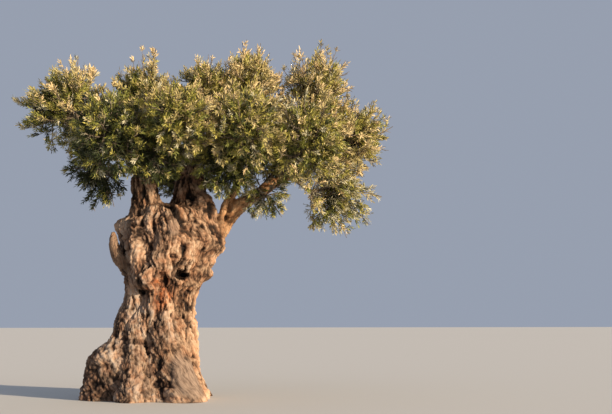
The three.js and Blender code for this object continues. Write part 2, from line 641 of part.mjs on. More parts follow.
/** A twig from a start to the edge of the room there, with its end leaf, or null if it doesn't fit. */
function twigInRoom(mass, heading, start, room, twigs, random, stretches) {
  const size = meanRadius(mass);
  const toClearCore = mass.core && (TWIG_CLEAR_OF_CORE - SUNK_IN_CORE) * coreReach(mass, heading);
  const shortest = toClearCore || TWIG_LEAST_SHARE * size;
  const longestLeaf = THREE.MathUtils.lerp(LEAF_SHARE.least, LEAF_SHARE.most, random()) * size;
  const endLeaves = twigs.map((other) => other.endLeaf);
  for (const shrink of SHRINKS) {
    const length = shrink * Math.min(longestLeaf, room - shortest);
    if (length < LEAST_LEAF_SHARE * size) return null;
    const end = start.clone().addScaledVector(heading, room - length);
    const twig = { start, end, heading };
    const endLeaf = leafOn(mass, end, heading, 0, 0, length, random);
    if (!passesLimbs(start, end, TWIG_START_RADIUS, stretches)) continue;
    if (leafFits(mass, endLeaf, twig, twigs, endLeaves, stretches)) return { ...twig, endLeaf };
  }
  return null;
}

/** The twigs of a mass: first those to its furthest tips, then all round. */
function twigsOf(mass, stem, random, stretches) {
  const fullness = Math.min(1, meanRadius(mass) / FULL_MASS_RADIUS);
  const wanted = Math.round(TWIGS_PER_MASS * fullness) + mass.tips.length;
  const turn = random() * 2 * Math.PI;
  const middle = vector(mass.at);
  const back = vector(stem.points[0]).sub(middle).normalize();
  const twigs = [];
  for (const tip of mass.tips) {
    const start = twigStart(mass, stem, vector(tip).sub(middle).normalize(), twigs.length / wanted);
    const way = vector(tip).sub(start);
    const room = way.length();
    const twig = twigInRoom(mass, way.normalize(), start, room, twigs, random, stretches);
    if (twig) twigs.push(twig);
  }
  for (let k = 0; k < TWIG_TRIES && twigs.length < wanted; k += 1) {
    const heading = spreadHeading(k, TWIG_TRIES, turn + TWIG_STRAY * (random() - 0.5));
    heading.addScaledVector(UP, mass.hang ? -mass.hang * TWIG_LEANS.down : TWIG_LEANS.up).normalize();
    const start = twigStart(mass, stem, heading, twigs.length / wanted);
    if (heading.dot(back) > STEM_SIDE || !inSpace(mass, start)) continue;
    const room = TWIG_REACH * roomAlong(mass, start, heading);
    const twig = twigInRoom(mass, heading, start, room, twigs, random, stretches);
    if (twig) twigs.push(twig);
  }
  return twigs;
}

/** Where the side leaves of a mass start, and the headings that they open from. */
function leafSeats(mass, twigs, random) {
  const seats = [];
  if (mass.core) {
    const turn = random() * 2 * Math.PI;
    for (let k = 0; k < SIDE_LEAVES.onCore; k += 1) {
      const heading = spreadHeading(k, SIDE_LEAVES.onCore, turn);
      const root = vector(mass.at).addScaledVector(heading, SUNK_IN_CORE * coreReach(mass, heading));
      seats.push({ root, heading, twig: null, spin: k });
    }
    return seats;
  }
  for (const twig of twigs) {
    const spin = random() * 2 * Math.PI;
    for (let k = 0; k < SIDE_LEAVES.onTwig; k += 1) {
      const share = (k + 0.5 * random()) / SIDE_LEAVES.onTwig;
      const along = THREE.MathUtils.lerp(LEAF_SEATS.nearest, LEAF_SEATS.furthest, share);
      const root = twig.start.clone().lerp(twig.end, along);
      seats.push({ root, heading: twig.heading, twig, spin: spin + k * GOLDEN_ANGLE });
    }
  }
  return seats;
}

/** The side leaves of a mass: each tries a few headings, a little shorter each time, until it fits. */
function sideLeavesOf(mass, twigs, random, stretches) {
  const between = (range) => THREE.MathUtils.lerp(range.least, range.most, random());
  const leaves = twigs.map((twig) => twig.endLeaf);
  const shares = mass.core ? CORE_LEAF_SHARE : LEAF_SHARE;
  const opens = mass.core ? LEAF_OPENS.onCore : LEAF_OPENS.onTwig;
  for (const { root, heading, twig, spin } of leafSeats(mass, twigs, random)) {
    for (let attempt = 0; attempt < LEAF_ATTEMPTS; attempt += 1) {
      const open = between(opens) * DEGREE;
      const angle = spin + attempt * LEAF_TURN;
      const length = between(shares) * (1 - LEAF_SHRINK * attempt) * meanRadius(mass);
      const leaf = leafOn(mass, root, heading, open, angle, length, random);
      if (!leafFits(mass, leaf, twig, twigs, leaves, stretches)) continue;
      leaves.push(leaf);
      break;
    }
  }
  return leaves.slice(twigs.length);
}

/** One mass of foliage: its stem, twigs and leaves, and the core of a dense one, fused in one body. */
function foliageSolid(mass, branch, stretches, cutters) {
  const random = seeded(mass.at[0] * 7 + mass.at[1] * 13 + mass.at[2] * 17 + 90001);
  const stem = stemOf(mass, branch);
  const twigs = twigsOf(mass, stem, random, stretches);
  const leaves = sideLeavesOf(mass, twigs, random, stretches);
  const solids = [limbSolid(stem), ...twigs.map(shootSolid), ...leaves.map(leafSolid)];
  if (mass.core) solids.push(coreSolid(mass, cutters));
  return largestBody(wasm.Manifold.union(solids));
}

// The tree

const tree = new THREE.Group();
tree.add(meshOf("trunk", trunkSolid(), BARK));

// Each limb is cut clear of the trunk and of the limbs before it, its bough among them.
const cutters = [trunkSolid(CLEARANCE)];
const cutClear = (solid) => largestBody(cutters.reduce((left, cutter) => left.subtract(cutter), solid));
for (const [name, bough] of Object.entries(BOUGHS)) {
  tree.add(meshOf(name, cutClear(limbSolid(bough)), BARK));
  cutters.push(limbSolid(bough, CLEARANCE));
}

// A branch runs from its bough to each mass, apart from the one that the thin bough carries at its tip.
const branches = { top_crown: BOUGHS.bough_thin };
for (const mass of MASSES) {
  if (branches[mass.name]) continue;
  const branch = branchTo(mass, BOUGHS[mass.from]);
  branches[mass.name] = branch;
  tree.add(meshOf("branch_" + mass.name, cutClear(limbSolid(branch)), YOUNG_BARK));
  cutters.push(limbSolid(branch, CLEARANCE));
}

// The foliage grows clear of every limb.
const stretches = Object.values({ ...BOUGHS, ...branches }).flatMap(stretchesOf);
for (const mass of MASSES) {
  const solid = foliageSolid(mass, branches[mass.name], stretches, cutters);
  tree.add(meshOf("foliage_" + mass.name, solid, LEAF));
}

export default tree;
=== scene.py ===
import math
import random

import bpy
import numpy as np
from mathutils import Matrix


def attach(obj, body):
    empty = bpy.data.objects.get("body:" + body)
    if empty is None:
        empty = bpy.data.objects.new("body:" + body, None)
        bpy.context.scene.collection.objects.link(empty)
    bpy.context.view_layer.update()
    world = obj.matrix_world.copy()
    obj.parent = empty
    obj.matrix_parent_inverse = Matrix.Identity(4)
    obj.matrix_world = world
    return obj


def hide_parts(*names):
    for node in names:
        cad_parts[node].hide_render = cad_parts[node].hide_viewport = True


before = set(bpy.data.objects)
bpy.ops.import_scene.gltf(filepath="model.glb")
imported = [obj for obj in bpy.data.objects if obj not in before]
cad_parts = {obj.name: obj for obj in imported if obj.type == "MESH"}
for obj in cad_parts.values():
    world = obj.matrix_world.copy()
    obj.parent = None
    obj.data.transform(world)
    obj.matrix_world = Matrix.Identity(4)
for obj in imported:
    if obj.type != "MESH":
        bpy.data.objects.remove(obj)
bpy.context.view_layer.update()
scene = bpy.context.scene


# The studio: a plain pale floor that runs far back, an even pale surround, a low warm key light from the
# front right and a weak, soft one beside it. The camera stands at eye height, twelve metres in front of
# the tree, and looks past it to the right.

EYE = (0.0, -12.1, 1.05)
YAW = 9.72  # degrees to the right of the trunk
PITCH = 7.45  # degrees above level
SENSOR_WIDTH = 36
FOCAL_IN_PICTURE_WIDTHS = 864 / 612
LIGHTS = [  # name, degrees from overhead and round, strength, colour, degrees across
    ("key_light", 77.5, 48, 7.5, (1.0, 0.80, 0.56), 1.5),
    ("fill_light", 88, 40, 1.05, (1.0, 0.84, 0.62), 20),
]


def new_finish(name):
    """A new material and its shader."""
    finish = bpy.data.materials.new(name)
    finish.use_nodes = True
    return finish, finish.node_tree.nodes["Principled BSDF"]


bpy.ops.object.camera_add(location=EYE, rotation=(math.radians(90 + PITCH), 0, math.radians(-YAW)))
camera = bpy.context.active_object
camera.name = "camera"
camera.data.sensor_width = SENSOR_WIDTH
camera.data.lens = SENSOR_WIDTH * FOCAL_IN_PICTURE_WIDTHS
camera.data.clip_end = 400
scene.camera = camera

bpy.ops.mesh.primitive_plane_add(size=160, location=(0, 30, 0))
floor = bpy.context.active_object
floor.name = "floor"
floor_paint, shader = new_finish("floor_paint")
shader.inputs["Base Color"].default_value = (0.62, 0.61, 0.58, 1)
shader.inputs["Roughness"].default_value = 0.95
floor.data.materials.append(floor_paint)

surround = bpy.data.worlds.new("surround")
surround.use_nodes = True
background = surround.node_tree.nodes["Background"]
background.inputs["Color"].default_value = (0.72, 0.81, 1.0, 1)
background.inputs["Strength"].default_value = 0.43
scene.world = surround

for name, overhead, round_by, strength, colour, wide in LIGHTS:
    bpy.ops.object.light_add(type="SUN", rotation=(math.radians(overhead), 0, math.radians(round_by)))
    light = bpy.context.active_object
    light.name = name
    light.data.energy = strength
    light.data.color = colour
    light.data.angle = math.radians(wide)
scene.view_settings.view_transform = "Standard"


# The trunk: one body of old, ribbed wood, from the flat cut at ground level to the rim where the limbs
# leave. It is an oval at each height, with flaring roots, ribs that lean round it, burls, dents and an
# open hole. All its measures are in millimetres and degrees.

MM = 0.001
DEGREE = math.pi / 180
TRUNK_STATIONS = np.array([  # height, middle, half width, half depth
    (0, 5, 610, 570),
    (480, -15, 540, 500),
    (960, -50, 535, 460),
    (1330, 25, 470, 425),
    (1600, 85, 525, 465),
    (1860, 125, 625, 545),
    (2120, 200, 680, 600),
    (2330, 160, 690, 565),
    (2500, 195, 545, 470),
], float)
DOME_RISE = 150
FOOT_BELOW = 60  # how far it runs on until it is cut flat
ROOTS = [  # heading, reach, spread, top, step
    (188, 385, 26, 900, 520),
    (236, 200, 17, 760, 0),
    (305, 350, 27, 1050, 0),
    (349, 150, 16, 820, 0),
    (24, 230, 16, 650, 0),
    (66, 210, 15, 700, 250),
    (108, 290, 19, 820, 0),
    (150, 200, 15, 640, 0),
]
ROOT_EDGE = 1.6  # where a root has faded out, in spreads
ROOT_TAPER = 1.4
RIBS = [  # count, depth, lean, waver, wave, phase
    (5, 46, 1 / 1900, 0.9, 800, 0.4),
    (9, 30, -1 / 2600, 0.8, 430, 1.9),
]
RIB_SINK = 1.2  # how far they are sunk, as a share of their depth
RIB_FADE = (0.55, 0.45, 300, 900)  # their depth's share at the foot, its growth, between which heights
BURLS = [  # heading, height, reach, spread, above, below
    (354, 1640, 130, 15, 130, 90),
    (356, 1985, 50, 17, 300, 90),
    (246, 1650, 90, 22, 620, 120),
    (214, 2180, 75, 15, 260, 420),
    (290, 1880, 95, 17, 330, 110),
    (276, 2330, 60, 13, 210, 330),
    (322, 2060, 65, 16, 380, 240),
    (282, 1420, -60, 16, 160, 260),
    (184, 1560, -24, 20, 260, 340),
    (92, 1720, 110, 22, 480, 150),
    (138, 2080, 85, 17, 300, 240),
    (40, 1930, 80, 18, 330, 140),
    (118, 1330, -55, 18, 150, 300),
]
BURL_EDGE = 1.7
HOLLOWS = [  # place and radii
    ((318, -590, 1652), (112, 400, 74)),
    ((60, -600, 1540), (140, 230, 115)),
]
TRUNK_SIDES = 220
TRUNK_RINGS = 190
DOME_RINGS = 26


def smooth(low, high, value):
    share = np.clip((value - low) / (high - low), 0, 1)
    return share * share * (3 - 2 * share)


def bump(offset):
    return np.where(offset < 1, (1 - np.minimum(offset, 1) ** 2) ** 2, 0.0)


def turn_between(first, second):
    turn = np.abs(first - second) % 360
    return np.where(turn > 180, 360 - turn, turn)


def trunk_oval(height):
    """The middle, half width and half depth of the trunk at each height."""
    stations = TRUNK_STATIONS
    k = np.clip(np.searchsorted(stations[:, 0], height, side="right") - 1, 0, len(stations) - 2)
    share = smooth(0, 1, (height - stations[k, 0]) / (stations[k + 1, 0] - stations[k, 0]))
    return (stations[k] + (stations[k + 1] - stations[k]) * share[:, None])[:, 1:].T


def trunk_radius(heading, height):
    """How far the trunk's surface is from its middle, before the bark's relief."""
    half_width, half_depth = trunk_oval(height)[1:]
    angle = heading * DEGREE
    radius = half_width * half_depth / np.hypot(half_depth * np.cos(angle), half_width * np.sin(angle))
    flare = np.zeros_like(radius)
    for at, reach, spread, top, step in ROOTS:
        across = bump(turn_between(heading, at) / (spread * ROOT_EDGE))
        tapered = np.maximum(0, 1 - height / top) ** ROOT_TAPER
        rise = 1 - smooth(step, top, height) if step > 0 else tapered
        flare = np.maximum(flare, reach * across * rise)
    ribs = np.zeros_like(radius)
    least, growth, low, high = RIB_FADE
    fade = least + growth * smooth(low, high, height)
    for count, depth, lean, waver, wave, phase in RIBS:
        swing = (count * (angle + height * lean) + waver * np.sin(height / wave + phase)) / 2
        ribs += depth * fade * (2 * np.abs(np.sin(swing)) - RIB_SINK)
    burls = np.zeros_like(radius)
    for at, level, reach, spread, above, below in BURLS:
        across = turn_between(heading, at) / (spread * BURL_EDGE)
        along = (height - level) / np.where(height > level, above, below)
        burls += reach * bump(np.hypot(across, along))
    return radius + flare + ribs + burls


def points_of(mesh):
    found = np.empty(len(mesh.vertices) * 3)
    mesh.vertices.foreach_get("co", found)
    return found.reshape(-1, 3)


def place_points(mesh, points):
    mesh.vertices.foreach_set("co", np.ascontiguousarray(points, float).ravel())
    mesh.update()


rings = DOME_RINGS + TRUNK_RINGS + 1
bpy.ops.mesh.primitive_uv_sphere_add(segments=TRUNK_SIDES, ring_count=rings, radius=1)
wood = bpy.context.active_object
wood.name = "trunk_and_boughs"
ball = points_of(wood.data)
ring = np.arccos(np.clip(ball[:, 2], -1, 1)) / math.pi * rings
heading = np.degrees(np.arctan2(ball[:, 1], ball[:, 0])) % 360
rim = TRUNK_STATIONS[-1, 0]
over_rim = np.where(ring < DOME_RINGS, np.cos(np.minimum(ring / DOME_RINGS, 1) * math.pi / 2), 0)
height = rim * (1 - np.clip((ring - DOME_RINGS) / TRUNK_RINGS, 0, 1))
share = np.where(ring > rings - 0.5, 0, np.sqrt(1 - over_rim ** 2))
radius = trunk_radius(heading, height) * share
middle = trunk_oval(height)[0]
shape = np.column_stack([
    middle + radius * np.cos(heading * DEGREE),
    radius * np.sin(heading * DEGREE),
    height + DOME_RISE * over_rim - np.where(height < 1, FOOT_BELOW, 0),
])
for place, radii in HOLLOWS:
    off = (shape - place) / radii
    depth = 1 - off[:, 0] ** 2 - off[:, 2] ** 2
    pressed = place[1] + radii[1] * np.sqrt(np.maximum(depth, 0))
    inside = (depth > 0) & (shape[:, 1] < pressed)
    shape[inside, 1] = pressed[inside]
place_points(wood.data, shape * MM)


# The boughs: four round, tapering limbs grown out of the trunk's head, and the stub of a fifth, sawn off
# long ago, on the trunk's left side. They are fused with the trunk and its two round burls, so that each
# crotch is one surface.

BOUGHS = {  # the points of its middle line, then its radius at the start and at the tip
    "bough_left": ([(-150, -80, 2300), (-185, -90, 2731), (-205, -80, 3010), (-235, -70, 3320)], 252, 140),
    "bough_middle": ([(415, 50, 2300), (425, 70, 2660), (430, 90, 2900), (455, 120, 3230)], 345, 165),
    "bough_right": ([(770, -40, 2150), (895, -65, 2390), (1205, -90, 2715), (1478, -100, 2890),
                     (1790, -80, 3090)], 138, 70),
    "bough_thin": ([(835, -170, 2230), (900, -175, 2620), (1040, -150, 2846), (1130, -90, 3230),
                    (1200, -20, 3720)], 66, 34),
}
STUB = ([(-440, -220, 1780), (-560, -310, 1930), (-600, -335, 2215)], 92, 58)
WORN_END = (0.70, 0.45)  # where along the stub it starts to round off, and how thin it gets
HANGING_RIB = ([(-262, -350, 2420), (-305, -430, 2040), (-155, -440, 1640)], 90, 140)
ROUND_BURLS = [  # place and radii
    ((575, -150, 2500), (210, 240, 300)),
    ((-150, -470, 1600), (180, 190, 170)),
]
BOUGH_STEPS = 24
BOUGH_SIDES = 20
CURVE_STEPS = 40
WOOD_GRAIN = 15.2  # the size of the faces that carry the relief
CROTCH_HEIGHTS = (2320, 2460, 2640, 2860)  # where the fillet starts, is full, fades and ends
CROTCH_FADE = (330, 430)  # the same to the right
CROTCH_STEPS = 8
CROTCH_SMOOTHING = 90


def limb_line(points, steps):
    """A centripetal curve through the points, evenly spaced, and its directions."""
    given = np.array(points, float)
    ends = np.vstack([2 * given[0] - given[1], given, 2 * given[-1] - given[-2]])
    fine = []
    for k in range(1, len(ends) - 2):
        a, b, c, d = ends[k - 1:k + 3]
        ab, bc, cd = (max(np.linalg.norm(q - p) ** 0.5, 1e-4) for p, q in ((a, b), (b, c), (c, d)))
        out = ((b - a) / ab - (c - a) / (ab + bc) + (c - b) / bc) * bc
        into = ((c - b) / bc - (d - b) / (bc + cd) + (d - c) / cd) * bc
        kept = CURVE_STEPS + (k == len(ends) - 3)
        for t in np.linspace(0, 1, CURVE_STEPS + 1)[:kept]:
            fine.append((2 * t**3 - 3 * t**2 + 1) * b + (t**3 - 2 * t**2 + t) * out
                        + (3 * t**2 - 2 * t**3) * c + (t**3 - t**2) * into)
    fine = np.array(fine)
    run = np.concatenate([[0], np.cumsum(np.linalg.norm(np.diff(fine, axis=0), axis=1))])
    wanted = np.linspace(0, run[-1], steps + 1)
    line = np.column_stack([np.interp(wanted, run, fine[:, k]) for k in range(3)])
    ahead = np.gradient(line, axis=0)
    return line, ahead / np.linalg.norm(ahead, axis=1)[:, None]


def taper(start, end, steps):
    return np.linspace(start, end, steps + 1)


def choose(*pieces):
    """Selects only these pieces. The last one is the active one."""
    bpy.ops.object.select_all(action="DESELECT")
    for piece in pieces:
        piece.select_set(True)
    bpy.context.view_layer.objects.active = pieces[-1]


def tapered_tubes(name, limbs, sides):
    """Round limbs, each given as its line and its radii along it, as one mesh."""
    tubes = bpy.data.curves.new(name, "CURVE")
    tubes.dimensions = "3D"
    tubes.bevel_depth = 1.0
    tubes.bevel_resolution = max(0, sides // 2 - 2)
    tubes.use_fill_caps = True
    for line, radii in limbs:
        spline = tubes.splines.new("POLY")
        spline.points.add(len(line) - 1)
        spline.points.foreach_set("co", np.column_stack([line * MM, np.ones(len(line))]).ravel())
        spline.points.foreach_set("radius", np.asarray(radii) * MM)
    piece = bpy.data.objects.new(name, tubes)
    scene.collection.objects.link(piece)
    choose(piece)
    bpy.ops.object.convert(target="MESH")
    return bpy.context.active_object


limbs = []
for points, start, end in [*BOUGHS.values(), HANGING_RIB]:
    limbs.append((limb_line(points, BOUGH_STEPS)[0], taper(start, end, BOUGH_STEPS)))
worn_from, worn_to = WORN_END
worn = np.clip((np.linspace(0, 1, BOUGH_STEPS + 1) - worn_from) / (1 - worn_from), 0, 1)
stub_radii = taper(*STUB[1:], BOUGH_STEPS) * (1 - (1 - worn_to) * worn**2)
limbs.append((limb_line(STUB[0], BOUGH_STEPS)[0], stub_radii))
boughs = tapered_tubes("boughs", limbs, BOUGH_SIDES)
burls = []
for place, radii in ROUND_BURLS:
    bpy.ops.mesh.primitive_uv_sphere_add(segments=48, ring_count=32, radius=1)
    burls.append(bpy.context.active_object)
    place_points(burls[-1].data, (points_of(burls[-1].data) * radii + place) * MM)

choose(boughs, *burls, wood)
bpy.ops.object.join()
fuse = wood.modifiers.new("fuse", "REMESH")
fuse.voxel_size = WOOD_GRAIN * MM
bpy.ops.object.modifier_apply(modifier="fuse")
fused = points_of(wood.data) / MM
start, full, fading, end = CROTCH_HEIGHTS
at_crotch = smooth(start, full, fused[:, 2]) * (1 - smooth(fading, end, fused[:, 2]))
at_crotch *= 1 - smooth(*CROTCH_FADE, fused[:, 0])
crotch = wood.vertex_groups.new(name="crotch")
for step in range(1, CROTCH_STEPS + 1):
    level = np.flatnonzero(np.round(at_crotch * CROTCH_STEPS) == step)
    crotch.add(level.tolist(), step / CROTCH_STEPS, "REPLACE")
fillet = wood.modifiers.new("fillet", "SMOOTH")
fillet.vertex_group = "crotch"
fillet.factor = 0.5
fillet.iterations = CROTCH_SMOOTHING
bpy.ops.object.modifier_apply(modifier="fillet")
wood.vertex_groups.clear()
bpy.ops.object.mode_set(mode="EDIT")
bpy.ops.mesh.select_all(action="SELECT")
bpy.ops.mesh.bisect(plane_co=(0, 0, 0), plane_no=(0, 0, -1), clear_outer=True, use_fill=True)
bpy.ops.object.mode_set(mode="OBJECT")


# The bark's relief: knobs and long slots that follow the grain up the trunk and out along each limb,
# worn smooth where the wood is bare. Each point of the wood is moved straight out or in.

SWELLS = (190, 620, 30, 11)  # width round the limb, length along it, depth and seed
SWELL_SHAPE = (1.6, 0.5)  # how far they rise and are sunk, as shares of their depth
FLAKES = [(70, 150, 14, 23), (36, 68, 13, 37)]
FLAKE_RIM = (0.02, 0.30)  # where one rises, from its edge in
FLAKE_SHAPE = (0.7, 0.45)  # how far they are sunk, and how unevenly
SLOTS = (84, 330, 24, 51)
SLOT_WIDTH = 0.13
SLOT_PATCHES = (380, -0.25, 0.35)  # how far apart, and where slots start and are full
PITS = (60, 110, 26, 91)
PIT_EDGE = (0.38, 0.62)
BARK_WARPS = [(330, 42), (110, 16)]  # how far apart the grain swings, and how far it goes
TRUNK_GRAIN = 560.0  # the radii that the grain is laid out on
LIMB_GRAIN = 300
FULL_LIMB = 190  # the radius of one with bark as coarse as the trunk's
LEAST_BARK = 0.3
GRAIN_LEAN = 2600  # the length in which it turns by a radian
GRAIN_APART = 900  # from one limb's grain to the next one's
NEAR_STEPS = 60
OVER_RIM = (60, 90)  # how far over it the trunk's bark ends, and how fast
LIMB_FADE = 7.0  # how sharply one gives way to the next
LIMB_KNOBS = (0.30, 22, 120)  # height as a share of its radius, at most, and how far apart
BARE_WOOD = [  # heading, height, half spread in degrees, half height, how smooth
    (304, 330, 24, 330, 0.9),
    (273, 2290, 10, 165, 0.6),
    (250, 2120, 7, 200, 0.5),
]
BARE_STUB = 0.35
BARE_EDGE = (0.55, 0.25, 130)  # where it starts to fade, how ragged it is, in what steps
BARE_CRACKS = (44, 600, 13, 0.35)  # how far apart, length, depth and width
FURROWS = [  # from, to, half width and depth of the folds between two growths
    ((60, -330, 2640), (330, -560, 2370), 95, 75),
    ((690, -330, 2620), (760, -420, 2240), 75, 50),
    ((968, -200, 2650), (922, -222, 2350), 45, 36),
]
FURROW_WAVER = (25, 70)  # how far, and in what steps
GROUND_FADE = (-20, 60)


def cell_value(cell, seed):
    """A number from -1 to 1 for each whole-number cell, the same on each run."""
    mixed = (cell[:, 0] * 374761393 + cell[:, 1] * 668265263 + cell[:, 2] * 1274126177 + seed * 974634777)
    mixed = (mixed ^ (mixed >> 13)) * 1103515245 & 0x7FFFFFFFFFFF
    mixed = (mixed ^ (mixed >> 16)) * 69069 & 0x7FFFFFFFFFFF
    return ((mixed >> 11) & 0xFFFFF) / 0x7FFFF - 1.0


def field(points, seed):
    """A smooth field between the cells' numbers, in -1 to 1."""
    cell = np.floor(points).astype(np.int64)
    local = points - cell
    ease = local * local * (3 - 2 * local)
    total = np.zeros(len(points))
    for corner in np.ndindex(2, 2, 2):
        weight = np.prod(np.where(np.array(corner) == 1, ease, 1 - ease), axis=1)
        total += weight * cell_value(cell + np.array(corner), seed)
    return total


def flakes_at(points, seed):
    """How far in from the edge of its flake each point is, and the flake's own number, from -1 to 1."""
    home = np.floor(points).astype(np.int64)
    nearest = np.full(len(points), 9.0)
    second = np.full(len(points), 9.0)
    own = np.zeros(len(points))
    for step in np.ndindex(3, 3, 3):
        cell = home + np.array(step) - 1
        nudge = np.column_stack([cell_value(cell, seed + axis) for axis in range(3)])
        gap = np.linalg.norm(points - cell - 0.5 - 0.42 * nudge, axis=1)
        closer = gap < nearest
        second = np.where(closer, nearest, np.minimum(second, gap))
        own = np.where(closer, nudge[:, 0], own)
        nearest = np.minimum(nearest, gap)
    return second - nearest, own


def bark_relief(around, size_round, along):
    """The bark's height over each point, from how far it is round its limb and along it."""
    grain = np.column_stack([np.cos(around) * size_round, np.sin(around) * size_round, along])
    for apart, swing in BARK_WARPS:
        warp = np.column_stack([field(grain / apart, 5), field(grain / apart, 6), field(grain / apart, 7)])
        grain = grain + warp * swing * (1, 1, 0.4)
    width, length, depth, seed = SWELLS
    high, sunk = SWELL_SHAPE
    relief = depth * (high * np.abs(field(grain / (width, width, length), seed)) - sunk)
    sunk, uneven = FLAKE_SHAPE
    for width, length, depth, seed in FLAKES:
        inward, own = flakes_at(grain / (width, width, length), seed)
        relief += depth * (smooth(*FLAKE_RIM, inward) - sunk + uneven * own)
    width, length, depth, seed = SLOTS
    slots = np.abs(field(grain / (width, width, length), seed))
    apart, none, full = SLOT_PATCHES
    slotted = smooth(none, full, field(grain / apart, seed + 1))
    relief -= depth * slotted * (1 - smooth(0, SLOT_WIDTH, slots))
    width, length, depth, seed = PITS
    relief -= depth * smooth(*PIT_EDGE, field(grain / (width, width, length), seed))
    return relief, grain


def off_place(at, level, half_spread, half_height):
    """How far each point is from a place on the trunk, 1 at its edge."""
    return np.hypot(turn_between(heading, at) / half_spread, (surface[:, 2] - level) / half_height)


surface = points_of(wood.data) / MM
normals = np.empty(len(surface) * 3)
wood.data.vertex_normals.foreach_get("vector", normals)
normals = normals.reshape(-1, 3)

height = np.clip(surface[:, 2], 0, rim)
middle = trunk_oval(height)[0]
off_x, off_y = surface[:, 0] - middle, surface[:, 1]
heading = np.degrees(np.arctan2(off_y, off_x)) % 360
over = np.maximum(0, surface[:, 2] - rim - OVER_RIM[0]) / OVER_RIM[1]
nearness = [np.hypot(off_x, off_y) / trunk_radius(heading, height) + over]
around = np.arctan2(off_y, off_x) + surface[:, 2] / GRAIN_LEAN
relief_sets = [bark_relief(around, np.full(len(surface), TRUNK_GRAIN), surface[:, 2])]
for points, start, end in [*BOUGHS.values(), STUB]:
    line, ahead = limb_line(points, NEAR_STEPS)
    gaps = np.stack([np.linalg.norm(surface - point, axis=1) for point in line])
    nearest = gaps.argmin(axis=0)
    nearness.append(gaps.min(axis=0) / taper(start, end, NEAR_STEPS)[nearest])
    off = surface - line[nearest]
    across = np.cross(ahead[nearest], (0, 1, 0))
    across /= np.linalg.norm(across, axis=1)[:, None]
    other = np.cross(ahead[nearest], across)
    turn = np.arctan2((off * other).sum(axis=1), (off * across).sum(axis=1))
    length = np.linalg.norm(np.diff(line, axis=0), axis=1).sum()
    along = nearest / NEAR_STEPS * length + (off * ahead[nearest]).sum(axis=1)
    mean = (start + end) / 2
    scale = np.clip(mean / FULL_LIMB, LEAST_BARK, 1)
    around = turn + along / GRAIN_LEAN
    relief, grain = bark_relief(around, np.full(len(surface), LIMB_GRAIN * scale), along / scale ** 0.5)
    knob_share, knob_most, knobs_apart = LIMB_KNOBS
    knobs = min(knob_share * mean, knob_most) * field(surface / knobs_apart, 90)
    relief_sets.append((scale * relief + knobs, grain + (GRAIN_APART * len(relief_sets), 0, 0)))
nearness = np.stack(nearness)
weights = np.exp(-LIMB_FADE * (nearness - nearness.min(axis=0)))
weights /= weights.sum(axis=0)
relief = sum(weight * one[0] for weight, one in zip(weights, relief_sets))
grain = sum(weight[:, None] * one[1] for weight, one in zip(weights, relief_sets))
on_trunk, on_left, on_middle, on_right, on_thin, on_stub = weights

bare = np.zeros(len(surface))
fading, ragged, steps_of = BARE_EDGE
for *place, how in BARE_WOOD:
    away = off_place(*place) + ragged * field(surface / steps_of, 61)
    bare = np.maximum(bare, how * on_trunk * (1 - smooth(fading, 1, away)))
bare = np.maximum(bare, BARE_STUB * on_stub)
relief *= 1 - bare
for first, last, width, depth in FURROWS:
    run = np.array(last, float) - first
    share = np.clip((surface - first) @ run / (run @ run), 0, 1)
    gap = np.linalg.norm(surface - first - share[:, None] * run, axis=1)
    gap += FURROW_WAVER[0] * field(surface / FURROW_WAVER[1], 33)
    relief -= depth * (1 - smooth(0.3, 1, gap / width))
apart, length, depth, width = BARE_CRACKS
cracks = np.abs(field(np.column_stack([grain[:, :2] / apart, grain[:, 2] / length]), 71))
relief -= bare * depth * (1 - smooth(0, width, cracks))
moved = surface + normals * (relief * smooth(*GROUND_FADE, surface[:, 2]))[:, None]
moved[:, 2] = np.where(surface[:, 2] < 1, 0, np.maximum(moved[:, 2], 0))
place_points(wood.data, moved * MM)
choose(wood)
bpy.ops.object.shade_smooth()


# The bark's finish: tan and pinkish brown on the knobs, nearly black down in the slots, a rust-red rotten
# patch under the hollow, and pale bare wood where the bark is gone. Painted shade lies cool grey on the
# trunk's left side and dark inside the hollows; painted sunlight makes the right and thin boughs orange and
# painted shade darkens the left and middle ones. The material reads what is kept at the points of the
# surface.

BARK_TONES = [  # where on the relief, and the colour there
    (0.04, (0.008, 0.005, 0.004)),
    (0.30, (0.050, 0.030, 0.019)),
    (0.50, (0.165, 0.103, 0.066)),
    (0.72, (0.320, 0.215, 0.142)),
    (1.00, (0.480, 0.355, 0.255)),
]
BARE_TONES = [  # the same along its fibres
    (0.32, (0.070, 0.048, 0.036)),
    (0.50, (0.215, 0.157, 0.120)),
    (0.75, (0.330, 0.250, 0.195)),
]
PINK_TINT = (1.0, 0.82, 0.72, 1)
# the cool tint of the painted shade on the trunk's left side
LEFT_SHADE_TINT = (0.70, 0.78, 0.92, 1)
RUST_TINT = (1.0, 0.50, 0.24, 1)
# the orange tint of painted sunlight on the right and thin boughs
PAINTED_SUN_TINT = (1.0, 0.84, 0.62, 1)
TONE_SHARES = (0.85, 0.45, 0.22)  # how much fibres, flakes and the boughs' painted sunlight and shade lighten the tone
TONE_SHIFT = 0.64
RUST = (273, 1440, 27, 300)  # heading, height, half spread in degrees, half height
RUST_RAGGED = (0.5, 90)  # how ragged its edge is, and in what steps
# Painted shade on the trunk's left side: the heading it centres on, how ragged its edge is, and where it
# reaches further round at the foot.
LEFT_SHADE_HEADING = 215
LEFT_SHADE_RAGGED = (0.35, 210)
LEFT_SHADE_FOOT = (900, 1700)  # where the painted shade's extra reach round the foot fades out
HOLLOW_RIM = (150, 240)  # behind its front, where the painted shade inside it starts and is full
HOLLOW_PAINTED_SHADE = (42, 14)  # how much painted shade darkens each one there


